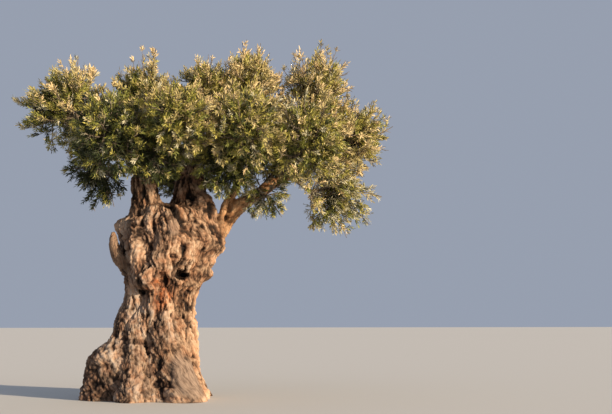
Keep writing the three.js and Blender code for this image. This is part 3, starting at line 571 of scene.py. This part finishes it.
def node_in(tree, kind, inputs, **settings):
    """A new node with its settings, its inputs linked to sockets or set to values."""
    node = tree.nodes.new(kind)
    for name, value in settings.items():
        setattr(node, name, value)
    for name, value in inputs.items():
        if isinstance(value, bpy.types.NodeSocket):
            tree.links.new(value, node.inputs[name])
        else:
            node.inputs[name].default_value = value
    return node


def read_value(tree, name, output="Fac"):
    return node_in(tree, "ShaderNodeAttribute", {}, attribute_name=name).outputs[output]


def mixed(tree, mask, first, second, blend="MIX"):
    """The colour between two colours, by a mask."""
    inputs = {0: mask, 6: first, 7: second}
    return node_in(tree, "ShaderNodeMix", inputs, data_type="RGBA", blend_type=blend).outputs[2]


def noise_on(tree, place, scale, detail, roughness):
    inputs = {"Vector": place, "Scale": scale, "Detail": detail, "Roughness": roughness}
    return node_in(tree, "ShaderNodeTexNoise", inputs).outputs["Fac"]


def stretched(tree, place, scale):
    return node_in(tree, "ShaderNodeMapping", {"Vector": place, "Scale": scale}).outputs["Vector"]


def ramp(tree, fac, stops):
    colours = node_in(tree, "ShaderNodeValToRGB", {"Fac": fac})
    while len(colours.color_ramp.elements) < len(stops):
        colours.color_ramp.elements.new(0.5)
    for element, (at, colour) in zip(colours.color_ramp.elements, stops):
        element.position = at
        element.color = (*colour, 1)
    return colours.outputs["Color"]


def masked(tree, fac, low, high):
    """A factor from 0 to 1 between two values of another."""
    inputs = {"Value": fac, "From Min": low, "From Max": high}
    return node_in(tree, "ShaderNodeMapRange", inputs, clamp=True).outputs["Result"]


def reckoned(tree, operation, *values, clamp=False):
    inputs = dict(enumerate(values))
    return node_in(tree, "ShaderNodeMath", inputs, operation=operation, use_clamp=clamp).outputs[0]


def raised(tree, height, strength, distance, **normal):
    """The normal of a surface that a height raises."""
    inputs = {"Height": height, "Strength": strength, "Distance": distance, **normal}
    return node_in(tree, "ShaderNodeBump", inputs).outputs["Normal"]


def new_effect(name, inputs, outputs):
    """A shader node group with named sockets, and those inside it to read from."""
    group = bpy.data.node_groups.new(name, "ShaderNodeTree")
    for way, kinds in (("INPUT", inputs), ("OUTPUT", outputs)):
        for kind, labels in kinds.items():
            for label in labels:
                group.interface.new_socket(label, in_out=way, socket_type="NodeSocket" + kind)
    return group, node_in(group, "NodeGroupInput", {}).outputs


fine_fibres, given = new_effect(
    "fine_fibres",
    {"Vector": ["Place"], "Float": ["Size", "Detail", "Roughness", "Strength", "Depth"]},
    {"Float": ["Fibres"], "Vector": ["Normal"]})
fibres = noise_on(fine_fibres, given["Place"], given["Size"], given["Detail"], given["Roughness"])
normal = raised(fine_fibres, fibres, given["Strength"], given["Depth"])
node_in(fine_fibres, "NodeGroupOutput", {"Fibres": fibres, "Normal": normal})

tinted_patches, given = new_effect(
    "tinted_patches",
    {"Vector": ["Place"], "Float": ["Size", "Detail", "From", "To"], "Color": ["Tone", "Tint"]},
    {"Color": ["Colour"]})
patches = noise_on(tinted_patches, given["Place"], given["Size"], given["Detail"], 0.6)
patches = masked(tinted_patches, patches, given["From"], given["To"])
tinted = mixed(tinted_patches, patches, given["Tone"], given["Tint"], "MULTIPLY")
node_in(tinted_patches, "NodeGroupOutput", {"Colour": tinted})

away = off_place(*RUST) + RUST_RAGGED[0] * field(surface / RUST_RAGGED[1], 81)
# How far into the painted cool shade each point lies: most on the left side, away from the key light, and
# further round near the foot.
left_shade = (0.5 * np.cos((heading - LEFT_SHADE_HEADING) * DEGREE) + 0.25
        + LEFT_SHADE_RAGGED[0] * field(surface / LEFT_SHADE_RAGGED[1], 83)
        + 0.25 * (1 - smooth(*LEFT_SHADE_FOOT, surface[:, 2])))
# Painted shade: deep inside each hollow the colour is darkened, through the relief that sets the bark's tone.
for (place, radii), hollow_shade in zip(HOLLOWS, HOLLOW_PAINTED_SHADE):
    off = (surface - place) / radii
    within = 1 - smooth(0.8, 1.25, np.hypot(off[:, 0], off[:, 2]))
    behind = smooth(*HOLLOW_RIM, surface[:, 1] - place[1]) * (surface[:, 1] < 0)
    relief -= hollow_shade * within * behind
low, high = np.percentile(relief, (2, 98))
for name, values in {
    "relief": np.clip((relief - low) / (high - low), 0, 1),
    "bare": bare,
    "rust": on_trunk * (1 - smooth(0.3, 1.15, away)),
    "left_shade": on_trunk * smooth(0.35, 0.9, left_shade),
    # Painted sunlight on the right and thin boughs, painted shade on the left and middle ones.
    "young": on_right + on_thin - 0.6 * on_left - 0.4 * on_middle,
}.items():
    held = wood.data.attributes.new(name, "FLOAT", "POINT")
    held.data.foreach_set("value", np.asarray(values, np.float32))
flow = wood.data.attributes.new("grain", "FLOAT_VECTOR", "POINT")
flow.data.foreach_set("vector", np.ascontiguousarray(grain * MM, np.float32).ravel())

old_bark, shader = new_finish("old_bark")
tree = old_bark.node_tree
grain_place = read_value(tree, "grain", "Vector")
# The boughs' painted sunlight lightens them and tints them orange; their painted shade darkens them.
young = read_value(tree, "young")
threads = node_in(tree, "ShaderNodeGroup", {
    "Place": stretched(tree, grain_place, (1, 1, 0.22)), "Size": 46, "Detail": 5, "Roughness": 0.62,
    "Strength": 0.85, "Depth": 0.012}, node_tree=fine_fibres).outputs
fibres = threads["Fibres"]
flakes = noise_on(tree, stretched(tree, grain_place, (1, 1, 0.4)), 22, 3, 0.55)
light = read_value(tree, "relief")
for value, share in zip((fibres, flakes, young), TONE_SHARES):
    light = reckoned(tree, "MULTIPLY_ADD", value, share, light)
tone = ramp(tree, reckoned(tree, "SUBTRACT", light, TONE_SHIFT, clamp=True), BARK_TONES)
tone = node_in(tree, "ShaderNodeGroup", {
    "Place": grain_place, "Size": 9, "Detail": 4, "From": 0.42, "To": 0.62, "Tone": tone,
    "Tint": PINK_TINT}, node_tree=tinted_patches).outputs["Colour"]
# The left side's painted cool shade, in patches.
left_shade_mask = reckoned(tree, "MULTIPLY", read_value(tree, "left_shade"), masked(tree, flakes, 0.30, 0.60))
rust_mask = reckoned(tree, "MULTIPLY", read_value(tree, "rust"), masked(tree, flakes, 0.32, 0.55))
# The last tint is the painted sunlight on the right and thin boughs.
for mask, share, tint in ((left_shade_mask, 1.0, LEFT_SHADE_TINT), (rust_mask, 0.9, RUST_TINT), (young, 1.0, PAINTED_SUN_TINT)):
    tone = mixed(tree, mask, tone, mixed(tree, share, tone, tint, "MULTIPLY"))
finished = mixed(tree, read_value(tree, "bare"), tone, ramp(tree, fibres, BARE_TONES))
tree.links.new(finished, shader.inputs["Base Color"])
tree.links.new(masked(tree, fibres, -1.2, 0.9), shader.inputs["Roughness"])
shader.inputs["Specular IOR Level"].default_value = 0.2
tree.links.new(raised(tree, flakes, 0.8, 0.03, Normal=threads["Normal"]), shader.inputs["Normal"])
wood.data.materials.append(old_bark)
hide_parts("trunk", *BOUGHS)
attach(wood, "root")


# The branches: one from a bough to each leafy mass, running on as the mass's own stem through the
# middle of it. They are young wood with thin, fine bark.

MASSES = [  # name, middle, radii, its bough and how far along, furthest tips, how much it hangs
    ("far_left", (-1380, 0, 4040), (670, 660, 760), "left", 0.93,
     [(-2036, 0, 4080), (-1165, 40, 4735), (-1800, -80, 3640)], 0),
    ("left_low", (-850, -40, 3110), (490, 600, 600), "left", 0.74,
     [(-905, -40, 2540), (-610, -60, 2590)], 0.5),
    ("left_top", (-240, 60, 4120), (560, 640, 830), "left", 1,
     [(-98, 60, 4905), (-400, 40, 4620)], 0),
    ("left_front", (-640, -1020, 3440), (570, 720, 690), "left", 0.86, [], 0),
    ("left_back", (-900, 1060, 3870), (650, 740, 720), "left", 0.9, [], 0),
    ("middle_left", (-60, -720, 3240), (480, 520, 470), "left", 0.8, [], 0),
    ("top_middle", (600, -60, 4230), (540, 640, 620), "middle", 1, [(698, -40, 4815)], 0),
    ("middle_front", (240, -1200, 3620), (520, 660, 560), "middle", 0.9, [], 0),
    ("middle", (890, -560, 3220), (550, 560, 590), "middle", 0.8, [], 0),
    ("front_right", (1090, -1180, 3560), (570, 710, 690), "middle", 0.94, [], 0),
    ("back_middle", (-20, 1300, 4020), (620, 720, 660), "middle", 0.92, [], 0),
    ("back_low", (330, 1000, 3280), (740, 600, 450), "middle", 0.78, [], 0),
    ("back_right", (930, 1330, 4080), (640, 720, 700), "middle", 0.97, [], 0),
    ("top_crown", (1230, 0, 4400), (540, 680, 700), "thin", 1, [(1143, 0, 5004), (1405, 20, 5050)], 0),
    ("low_cluster", (1420, -320, 2760), (440, 400, 375), "right", 0.62,
     [(1255, -250, 2490), (1682, -300, 2464)], 0.5),
    ("right_middle", (1680, -100, 3300), (520, 480, 480), "right", 0.72, [], 0),
    ("right_front", (1960, -1060, 3430), (600, 710, 740), "right", 0.92, [], 0),
    ("top_right", (2250, 0, 4430), (560, 660, 760), "right", 1,
     [(2309, 0, 5161), (2660, -30, 4840)], 0),
    ("right", (2790, -60, 3720), (600, 680, 680), "right", 0.99,
     [(3359, -60, 3870), (3096, -80, 3330)], 0),
    ("right_low", (2470, -120, 2800), (710, 620, 600), "right", 0.97,
     [(3165, -120, 2812), (2640, -120, 2210), (2950, -140, 2420)], 0.35),
    ("far_back", (1860, 1250, 3980), (660, 720, 700), "right", 0.9, [], 0),
    ("right_back", (2640, 1060, 3480), (620, 680, 680), "right", 0.96, [], 0),
]
SPACE_OVERLAP = 150  # how far past a mass's planes a twig may start
LIMB_STEPS = 40
BRANCH_RADII = (60, 32)
BRANCH_STEPS = 12
BRANCH_RISE = 0.14  # of its length
BRANCH_LEAST_LENGTH = 130
BRANCH_ENTRY = (0.88, 0.25)  # how far out in its mass it ends, and at least
STEM_STEPS = 16
STEM_END_RADIUS = 20
STEM_BOW = 0.4  # how far it runs on straight, of the way to the mass's middle
STEM_BEYOND = 0.3  # how far it runs on past that, of the room there
SUNK_IN_BOUGH = 12
SUNK_IN_BRANCH = 6
LIMB_SIDES = 12
AT = {mass[0]: np.array(mass[1], float) for mass in MASSES}
SIZE = {mass[0]: sum(mass[2]) / 3 for mass in MASSES}
PARTING = {}  # the planes that part each mass from the others
for name in AT:
    planes = []
    for other in AT:
        if other != name:
            apart = 2 * (AT[name] - AT[other])
            level = (AT[other] @ AT[other] - AT[name] @ AT[name]) - SIZE[other] ** 2 + SIZE[name] ** 2
            planes.append((*apart, level + np.linalg.norm(apart) * SPACE_OVERLAP))
    PARTING[name] = np.array(planes)


def room_and_side(mass, starts, directions):
    """How far a mass's ellipsoid goes from each start along each direction, and whether it is open there.

    A start beyond one of the mass's planes has no room in the directions that lead on away from it.
    """
    name, at, radii = mass[:3]
    starts, directions = np.atleast_2d(starts), np.atleast_2d(directions)
    off, way = (starts - at) / radii, directions / radii
    a, b, c = (way * way).sum(axis=1), (off * way).sum(axis=1), (off * off).sum(axis=1) - 1
    room = (-b + np.sqrt(np.maximum(b * b - a * c, 0))) / a
    planes = PARTING[name]
    lost = (starts @ planes[:, :3].T + planes[:, 3] < 0) & (directions @ planes[:, :3].T < 0)
    is_open = ~lost.any(axis=1)
    return np.maximum(0, room) * is_open, is_open


def room_along(mass, starts, directions):
    return room_and_side(mass, starts, directions)[0]


def unit(vectors):
    return vectors / np.maximum(np.linalg.norm(vectors, axis=-1, keepdims=True), 1e-9)


stems = {}
branch_limbs = []
for mass in MASSES:
    name, carrier, along = mass[0], *mass[3:5]
    at = AT[name]
    points, start_radius, end_radius = BOUGHS["bough_" + carrier]
    line, ahead = limb_line(points, LIMB_STEPS)
    if carrier == "thin":  # its tip carries the mass itself
        start, onwards, tip_radius = line[-1] - ahead[-1] * SUNK_IN_BOUGH, ahead[-1], end_radius
    else:
        start = line[round(along * LIMB_STEPS) - (2 if along == 1 else 0)]
        towards = start - at
        gap = np.linalg.norm(towards)
        towards /= gap
        in_bark = start_radius + (end_radius - start_radius) * along
        edge = BRANCH_ENTRY[0] * room_along(mass, at, towards)[0]
        entry = max(BRANCH_ENTRY[1] * gap, min(edge, gap - in_bark - BRANCH_LEAST_LENGTH))
        end = at + towards * entry
        bow = (start + end) / 2 + np.array([0, 0, BRANCH_RISE * np.linalg.norm(end - start)])
        line, ahead = limb_line([start, bow, end], BRANCH_STEPS)
        branch_limbs.append((line, taper(*BRANCH_RADII, BRANCH_STEPS)))
        start, onwards, tip_radius = line[-1] - ahead[-1] * SUNK_IN_BRANCH, ahead[-1], BRANCH_RADII[1]
    bow = start + STEM_BOW * np.linalg.norm(at - start) * onwards
    beyond = unit(at - start)
    end = at + STEM_BEYOND * room_along(mass, at, beyond)[0] * beyond
    stems[name] = limb_line([start, bow, end], STEM_STEPS)[0]
    branch_limbs.append((stems[name], taper(tip_radius, STEM_END_RADIUS, STEM_STEPS)))
branches = tapered_tubes("branches", branch_limbs, LIMB_SIDES)


# The twigs: from each stem, twigs run out to all sides of their mass and up, with finer twigs on them
# and leafy shoots on those. They are thin, straight-grained and grey, and grow fewer at the crown's edge.

TWIGS_PER_MASS = 40
FULL_MASS = (560, 1.5)  # the radius of a mass that has them all, and how fast smaller ones lose some
THIN_MASS = 0.5  # of its twigs, in a hanging mass
TREE_MIDDLE = (520, 0, 3350)
TREE_RADII = (2800, 2000, 1750)
THIN_EDGE = (0.76, 1.1, 0.62)  # where the crown starts to thin and ends, and how much it thins
CLEARINGS = [  # left and right, heights, and the share of the shoots left out there
    (-2060, -1500, 4150, 4700, 0.85),
    (-1560, -1250, 4420, 4800, 0.75),
    (-1620, -1380, 3300, 3520, 0.8),
    (-480, -180, 4540, 4960, 0.85),
    (80, 330, 4280, 4560, 0.7),
    (500, 960, 4560, 4780, 0.7),
    (1560, 1900, 4520, 4930, 0.55),
    (1900, 2160, 4600, 4930, 0.6),
    (2560, 2860, 4380, 4800, 0.5),
    (2330, 2760, 4700, 5080, 0.6),
    (3080, 3420, 3250, 3770, 0.75),
    (3080, 3420, 3930, 4200, 0.8),
    (980, 1330, 2600, 2730, 0.9),
]
STEM_SIDE = 0.85  # the cosine to the stem's own side from which headings stay bare
OPEN_SIDE = (0.15, 0.75)  # how far outwards a heading points where lengths start to vary, and fully
POINTED = 0.4  # the share of that from which a twig is pointed
REACH_OUT = 0.50  # the least share of its room that a twig fills, if it points outwards
REACH_IN = 0.90  # and if it doesn't
LEAST_REACH = 0.3
TWIG_SEATS = (0.3, 0.68)  # where along the stem they start, and how much of it they fill
TWIG_STEPS = 6
TWIG_RADII = (11, 4)
TWIG_BOW = 0.45
TWIG_SAG = (-0.10, 0.14)  # of its length, and the same in a hanging mass
SIDE_TWIGS = (7, 480)  # how many, on a twig of what length
SIDE_LENGTH = (0.22, 0.44)  # of the mass's radius
SIDE_SHRINK = (1.12, 0.88, 0.45)  # at a twig's start, and what is lost to its tip, pointed or not
SIDE_ROOM = 0.80
SIDE_RADII = (5, 2.5)
SIDE_SPREAD = 0.52
LEAST_LENGTH = 40
SHOOT_SPACING = 60
SHOOT_LENGTH = (110, 215)
SHOOT_SHRINK = (0.35, 0.1)
SHOOT_SPREAD = 0.40
LEAF_STAND = 62  # how far leaves stand out past their shoot
LIFT = (3250, 2300, 0.5)  # the height from which twigs turn up, how slowly, and at most how much
DROOP = 0.4
SWEEP = (500, 9000)  # where they don't lean to a side, and how slowly they do past it
GOLDEN_ANGLE = math.pi * (3 - math.sqrt(5))
TWIG_SIDES = 4
YOUNG_TONES = [
    (0.30, (0.060, 0.045, 0.032)),
    (0.52, (0.185, 0.140, 0.100)),
    (0.75, (0.330, 0.270, 0.205)),
]
MOSSY_TINT = (0.80, 0.86, 0.84, 1)
dice = random.Random(4177)
numbers = np.random.default_rng(4177)


def spread_heading(k, count, turn):
    """One of a count of headings spread evenly to all sides."""
    level = 1 - 2 * (k + 0.5) / count
    flat = math.sqrt(1 - level * level)
    angle = turn + k * GOLDEN_ANGLE
    return np.array([flat * math.cos(angle), flat * math.sin(angle), level])


def bent_line(start, bow, end, steps):
    """A curve from a start, towards a bow point, to an end."""
    t = np.linspace(0, 1, steps + 1)[:, None]
    return (1 - t) ** 2 * start + 2 * t * (1 - t) * bow + t**2 * end


def along_line(line, t):
    """Points at even shares along a line's stretches."""
    steps = len(line) - 1
    whole = np.minimum(steps - 1, (steps * t).astype(int))
    return line[whole] + (steps * t - whole)[:, None] * (line[whole + 1] - line[whole])


def twig_ends(mass, back, lean):
    """Where a mass's twigs end, and whether each one is pointed."""
    at, (tips, hang) = AT[mass[0]], mass[5:]
    ends = [(np.array(tip, float), True) for tip in tips]
    full, loss = FULL_MASS
    wanted = round(TWIGS_PER_MASS * (THIN_MASS if hang else 1) * min(1, (SIZE[mass[0]] / full) ** loss))
    turn = dice.uniform(0, 2 * math.pi)
    for k in range(wanted):
        heading = unit(spread_heading(k, wanted, turn) + 0.6 * lean)
        if heading @ back > STEM_SIDE:
            continue
        room, is_open = room_and_side(mass, at, heading)
        outward = unit((at + heading * room[0] - TREE_MIDDLE) / TREE_RADII / TREE_RADII) @ heading
        outer = smooth(*OPEN_SIDE, outward) if is_open[0] else 0.0
        least = REACH_IN + (REACH_OUT - REACH_IN) * outer
        share = least + (1 - least) * dice.random() ** (1 + 1.2 * outer)
        reach = max(LEAST_REACH * room[0], share * room[0] - LEAF_STAND)
        ends.append((at + heading * reach, outer > POINTED))
    return ends


def shoots_on(mass, index, side, way, long, lean, shrink):
    """The leafy shoots along a side twig, thinned at the crown's edge and in its clearings."""
    at, radii = mass[1:3]
    count = max(2, round(long / SHOOT_SPACING) + 1)
    roots = along_line(side, np.linspace(0.25, 1.0, count))
    ways = unit(way * 0.9 + numbers.normal(0, SHOOT_SPREAD, roots.shape) + lean * 1.5)
    ways[-1] = unit(way + lean * 0.8 + numbers.normal(0, 0.15, 3))
    longs = numbers.uniform(*SHOOT_LENGTH, count) * (1 - shrink)
    longs = np.minimum(longs, room_along(mass, roots, ways) - LEAF_STAND)
    edge = np.linalg.norm((roots - TREE_MIDDLE) / TREE_RADII, axis=1)
    start, end, thinned = THIN_EDGE
    kept = numbers.random(count) > thinned * smooth(start, end, edge)
    place = roots + ways * 0.5 * longs[:, None]
    for left, right, low, high, left_out in CLEARINGS:
        within = (left < place[:, 0]) & (place[:, 0] < right)
        within &= (low < place[:, 2]) & (place[:, 2] < high)
        kept &= ~(within & (numbers.random(count) < left_out))
    return [(*root, *shoot_way, shoot_long, np.linalg.norm((root - at) / radii), index)
            for root, shoot_way, shoot_long, keep in zip(roots, ways, longs, kept)
            if keep and shoot_long > LEAST_LENGTH]


twig_limbs = []
shoots = []  # start, direction, length, outwardness and mass of each leafy shoot
for index, mass in enumerate(MASSES):
    name, hang = mass[0], mass[6]
    at, stem = AT[name], stems[name]
    lift = min(LIFT[2], max(0, (at[2] - LIFT[0]) / LIFT[1])) if not hang else -DROOP * hang
    lean = np.array([(at[0] - SWEEP[0]) / SWEEP[1], 0, lift])
    ends = twig_ends(mass, unit(stem[0] - at), lean)
    for k, (end, pointed) in enumerate(ends):
        # every seventh seat in turn, so that neighbours start well apart
        seat_share = TWIG_SEATS[0] + TWIG_SEATS[1] * ((k * 7) % len(ends) + 0.5) / len(ends)
        seat = stem[round(STEM_STEPS * seat_share)]
        length = np.linalg.norm(end - seat)
        out = unit(end - seat)
        sag = np.array([0, 0, TWIG_SAG[1 if hang else 0] * length])
        twig = bent_line(seat, seat + out * TWIG_BOW * length + sag, end, TWIG_STEPS)
        twig_limbs.append((twig, taper(*TWIG_RADII, TWIG_STEPS)))
        side_count = max(3, round(SIDE_TWIGS[0] * length / SIDE_TWIGS[1]))
        t = np.concatenate([np.linspace(0.20, 0.94, side_count), [0.999]])
        seats = along_line(twig, t)
        spread = numbers.normal(0, SIDE_SPREAD, seats.shape)
        headings = unit(out * (0.55 + 0.45 * t[:, None]) + spread + lean)
        headings[-1] = unit(out + lean + 0.12 * numbers.normal(0, 1, 3))
        lengths = SIZE[name] * numbers.uniform(*SIDE_LENGTH, len(t))
        lengths *= SIDE_SHRINK[0] - SIDE_SHRINK[1 if pointed else 2] * t
        lengths = np.minimum(lengths, SIDE_ROOM * room_along(mass, seats, headings))
        for at_share, side_seat, way, long in zip(t, seats, headings, lengths):
            if long < LEAST_LENGTH:
                continue
            side_end = side_seat + way * long
            side = bent_line(side_seat, (side_seat + side_end) / 2 - lean * 0.2 * long, side_end, 2)
            twig_limbs.append((side, taper(*SIDE_RADII, 2)))
            shrink = SHOOT_SHRINK[0 if pointed else 1] * at_share
            shoots += shoots_on(mass, index, side, way, long, lean, shrink)
shoots = np.array(shoots)
twigs = tapered_tubes("twigs", twig_limbs, TWIG_SIDES)

young_bark, shader = new_finish("young_bark")
tree = young_bark.node_tree
place = node_in(tree, "ShaderNodeTexCoord", {}).outputs["Object"]
threads = node_in(tree, "ShaderNodeGroup", {
    "Place": place, "Size": 30, "Detail": 4, "Roughness": 0.65, "Strength": 0.7,
    "Depth": 0.008}, node_tree=fine_fibres).outputs
tinted = node_in(tree, "ShaderNodeGroup", {
    "Place": place, "Size": 6, "Detail": 3, "From": 0.4, "To": 0.62,
    "Tone": ramp(tree, threads["Fibres"], YOUNG_TONES), "Tint": MOSSY_TINT}, node_tree=tinted_patches).outputs
tree.links.new(tinted["Colour"], shader.inputs["Base Color"])
tree.links.new(threads["Normal"], shader.inputs["Normal"])
shader.inputs["Roughness"].default_value = 0.9
for piece in (branches, twigs):
    piece.data.materials.append(young_bark)
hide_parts(*[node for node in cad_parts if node.startswith("branch_")])
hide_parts(*[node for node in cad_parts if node.startswith("foliage_")])
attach(branches, "root")
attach(twigs, "root")


# The leaves: narrow, leathery olive leaves in pairs along each shoot, each pair turned from the last. They
# are grey-green above and silvery beneath. Each shoot's colour is painted light and shade: gold where the
# crown is sunny and deep green where it is inner or shaded. All leaves of one shoot have one colour, and
# those of one colour are joined.

LEAVES_PER_SHOOT = 13
LEAVES_PER_PIECE = 48000
LEAF_LENGTH = (54, 89)
LEAF_WIDTH = 0.21
LEAF_POINTS = [  # along in lengths, across in half widths, up in lengths
    (0, 0, 0),
    (0.32, -1, 0.03),
    (0.32, 0.9, 0.03),
    (0.68, -0.78, 0.02),
    (0.68, 0.85, 0.02),
    (1, 0, -0.05),
]
LEAF_FACES = [(0, 1, 2), (2, 1, 3), (2, 3, 4), (4, 3, 5)]
LEAF_OPENS = (20, 62)  # degrees from the shoot
LAST_OPENS = 0.06  # radians, at its tip
LEAF_STRAY = 0.35  # radians round the shoot
LEAF_TWIST = 0.8
LEAF_SHRINK = 0.25  # to the shoot's tip
LEAF_SEATS = (0.06, 0.90)  # where along the shoot they start, and how much of it they fill
STEM_RADIUS = 3.2
STEM_FACES = [(0, 1, 3), (1, 2, 3), (2, 0, 3), (2, 1, 0)]
# The first five are one leaf in painted light and shade, from sunlit gold to shaded deep green; silver is the
# leaves' own underside colour.
LEAF_FINISHES = {
    "leaf_gold": (0.65, 0.51, 0.275),
    "leaf_straw": (0.41, 0.345, 0.155),
    "leaf_olive": (0.335, 0.305, 0.070),
    "leaf_green": (0.185, 0.198, 0.041),
    "leaf_deep": (0.030, 0.040, 0.011),
    "leaf_silver": (0.43, 0.41, 0.28),
}
BY_LIGHT = ["leaf_deep", "leaf_green", "leaf_olive", "leaf_straw", "leaf_gold"]
LIGHT_STEPS = (0.08, 0.22, 0.38, 0.60)  # how sunny a shoot is where the next finish starts
CROWN_HEIGHTS = (2900, 1700)  # where the crown starts, and its height
SUN_BY_HEIGHT = 0.42
SUN_OUTSIDE = (0.38, 0.45, 0.5)  # how much, how far out in its mass it starts, and how slowly it grows
SUN_FROM_RIGHT = (0.24, 1200, 1500)  # how much, the crown's middle and its half width
SUN_IN_FRONT = (0.25, 520, 850, 3560, 560, -100)  # how much, its middle and reach both ways, its depth
SUN_STRAY = 0.17
SILVER_SHARE = {"right_low": 0.30, "low_cluster": 0.30}
SILVER_ELSEWHERE = 0.08


def faceted_piece(name, points, pattern):
    """A piece of many small shapes of a few points each, with the same three-sided faces on each."""
    first = np.arange(0, points.shape[0] * points.shape[1], points.shape[1])[:, None, None]
    points = points.reshape(-1, 3) * MM
    faces = (first + np.array(pattern)).reshape(-1, 3)
    mesh = bpy.data.meshes.new(name)
    mesh.vertices.add(len(points))
    mesh.vertices.foreach_set("co", points.ravel())
    mesh.loops.add(faces.size)
    mesh.loops.foreach_set("vertex_index", faces.ravel().astype(np.int32))
    mesh.polygons.add(len(faces))
    mesh.polygons.foreach_set("loop_start", np.arange(0, faces.size, 3, dtype=np.int32))
    mesh.update(calc_edges=True)
    piece = bpy.data.objects.new(name, mesh)
    scene.collection.objects.link(piece)
    return piece


def leaf_points(roots, ways, flats, lengths):
    """Narrow leaves, widest near the middle, folded a little and curved down at the tip."""
    sides = unit(np.cross(ways, flats))
    half = (LEAF_WIDTH / 2 * lengths)[:, None]
    long = lengths[:, None]
    return np.stack([roots + ways * along * long + flats * up * long + sides * half * across
                     for along, across, up in LEAF_POINTS], axis=1)


starts, ways, longs, outness, mass_of = np.split(shoots, (3, 6, 7, 8), axis=1)
longs, outness, mass_of = longs[:, 0], outness[:, 0], mass_of[:, 0].astype(int)
across = unit(np.cross(ways, (0.31, 0.47, 0.83)))
other = np.cross(ways, across)
n = len(shoots)
# Painted light and shade: how sunny each shoot is picks its colour; higher, further right, in front of the
# middle and further out is sunnier.
crown_level = np.clip((starts[:, 2] - CROWN_HEIGHTS[0]) / CROWN_HEIGHTS[1], 0, 1)
most, middle, half = SUN_FROM_RIGHT
sunny = most * np.clip((starts[:, 0] - middle) / half, -1, 1) * (1 - crown_level)
most, place, reach, level, rise, depth = SUN_IN_FRONT
nearby = np.clip(1 - np.abs(starts[:, 0] - place) / reach, 0, 1)
nearby *= np.clip(1 - np.abs(starts[:, 2] - level) / rise, 0, 1)
sunny += most * nearby * (starts[:, 1] < depth)
sunny += SUN_BY_HEIGHT * crown_level
most, outer, over = SUN_OUTSIDE
sunny += most * np.clip((outness - outer) / over, 0, 1)
finish_of = np.digitize(sunny + numbers.normal(0, SUN_STRAY, n), LIGHT_STEPS)
silver_shares = np.array([SILVER_SHARE.get(mass[0], SILVER_ELSEWHERE) for mass in MASSES])
silvery = numbers.random(n) < silver_shares[mass_of]
picks = {name: (finish_of == index) & ~silvery for index, name in enumerate(BY_LIGHT)}
picks["leaf_silver"] = silvery
leaf_sets = []
for k in range(LEAVES_PER_SHOOT):
    last = k == LEAVES_PER_SHOOT - 1
    pair = k // 2
    share = LEAF_SEATS[1] * (pair * 2 + numbers.uniform(0, 0.8, n)) / LEAVES_PER_SHOOT
    share = np.clip(LEAF_SEATS[0] + share, 0, 1)
    angle = pair * (math.pi / 2) + (k % 2) * math.pi + numbers.normal(0, LEAF_STRAY, n)
    open_by = numbers.uniform(*LEAF_OPENS, n) * DEGREE if not last else np.full(n, LAST_OPENS)
    side = across * np.cos(angle)[:, None] + other * np.sin(angle)[:, None]
    leaf_way = unit(ways * np.cos(open_by)[:, None] + side * np.sin(open_by)[:, None])
    roots = starts + ways * (share * longs)[:, None]
    flat = unit(np.cross(np.cross(leaf_way, ways + 1e-3), leaf_way) + numbers.normal(0, LEAF_TWIST, (n, 3)))
    flat = unit(flat - leaf_way * (flat * leaf_way).sum(axis=1)[:, None])
    length = numbers.uniform(*LEAF_LENGTH, n) * (1 - LEAF_SHRINK * share)
    leaf_sets.append((roots, leaf_way, flat, length))
stem_root = starts - ways * 4
corners = [stem_root + STEM_RADIUS * (across * math.cos(turn) + other * math.sin(turn))
           for turn in (0.0, 2.094, 4.189)]
stem_points = np.stack([*corners, starts + ways * (0.97 * longs)[:, None]], axis=1)
shoot_stems = faceted_piece("shoot_stems", stem_points, STEM_FACES)
shoot_stems.data.materials.append(young_bark)
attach(shoot_stems, "root")
for name, colour in LEAF_FINISHES.items():
    leaves_of = [np.concatenate([part[picks[name]] for part in parts]) for parts in zip(*leaf_sets)]
    finish, shader = new_finish(name)
    shader.inputs["Base Color"].default_value = (*colour, 1)
    shader.inputs["Roughness"].default_value = 0.55
    shader.inputs["Specular IOR Level"].default_value = 0.35
    pieces = math.ceil(len(leaves_of[0]) / LEAVES_PER_PIECE)
    for k in range(pieces):
        points = leaf_points(*[part[k::pieces] for part in leaves_of])
        leaves = faceted_piece(f"{name}_{k + 1}", points, LEAF_FACES)
        leaves.data.materials.append(finish)
        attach(leaves, "root")
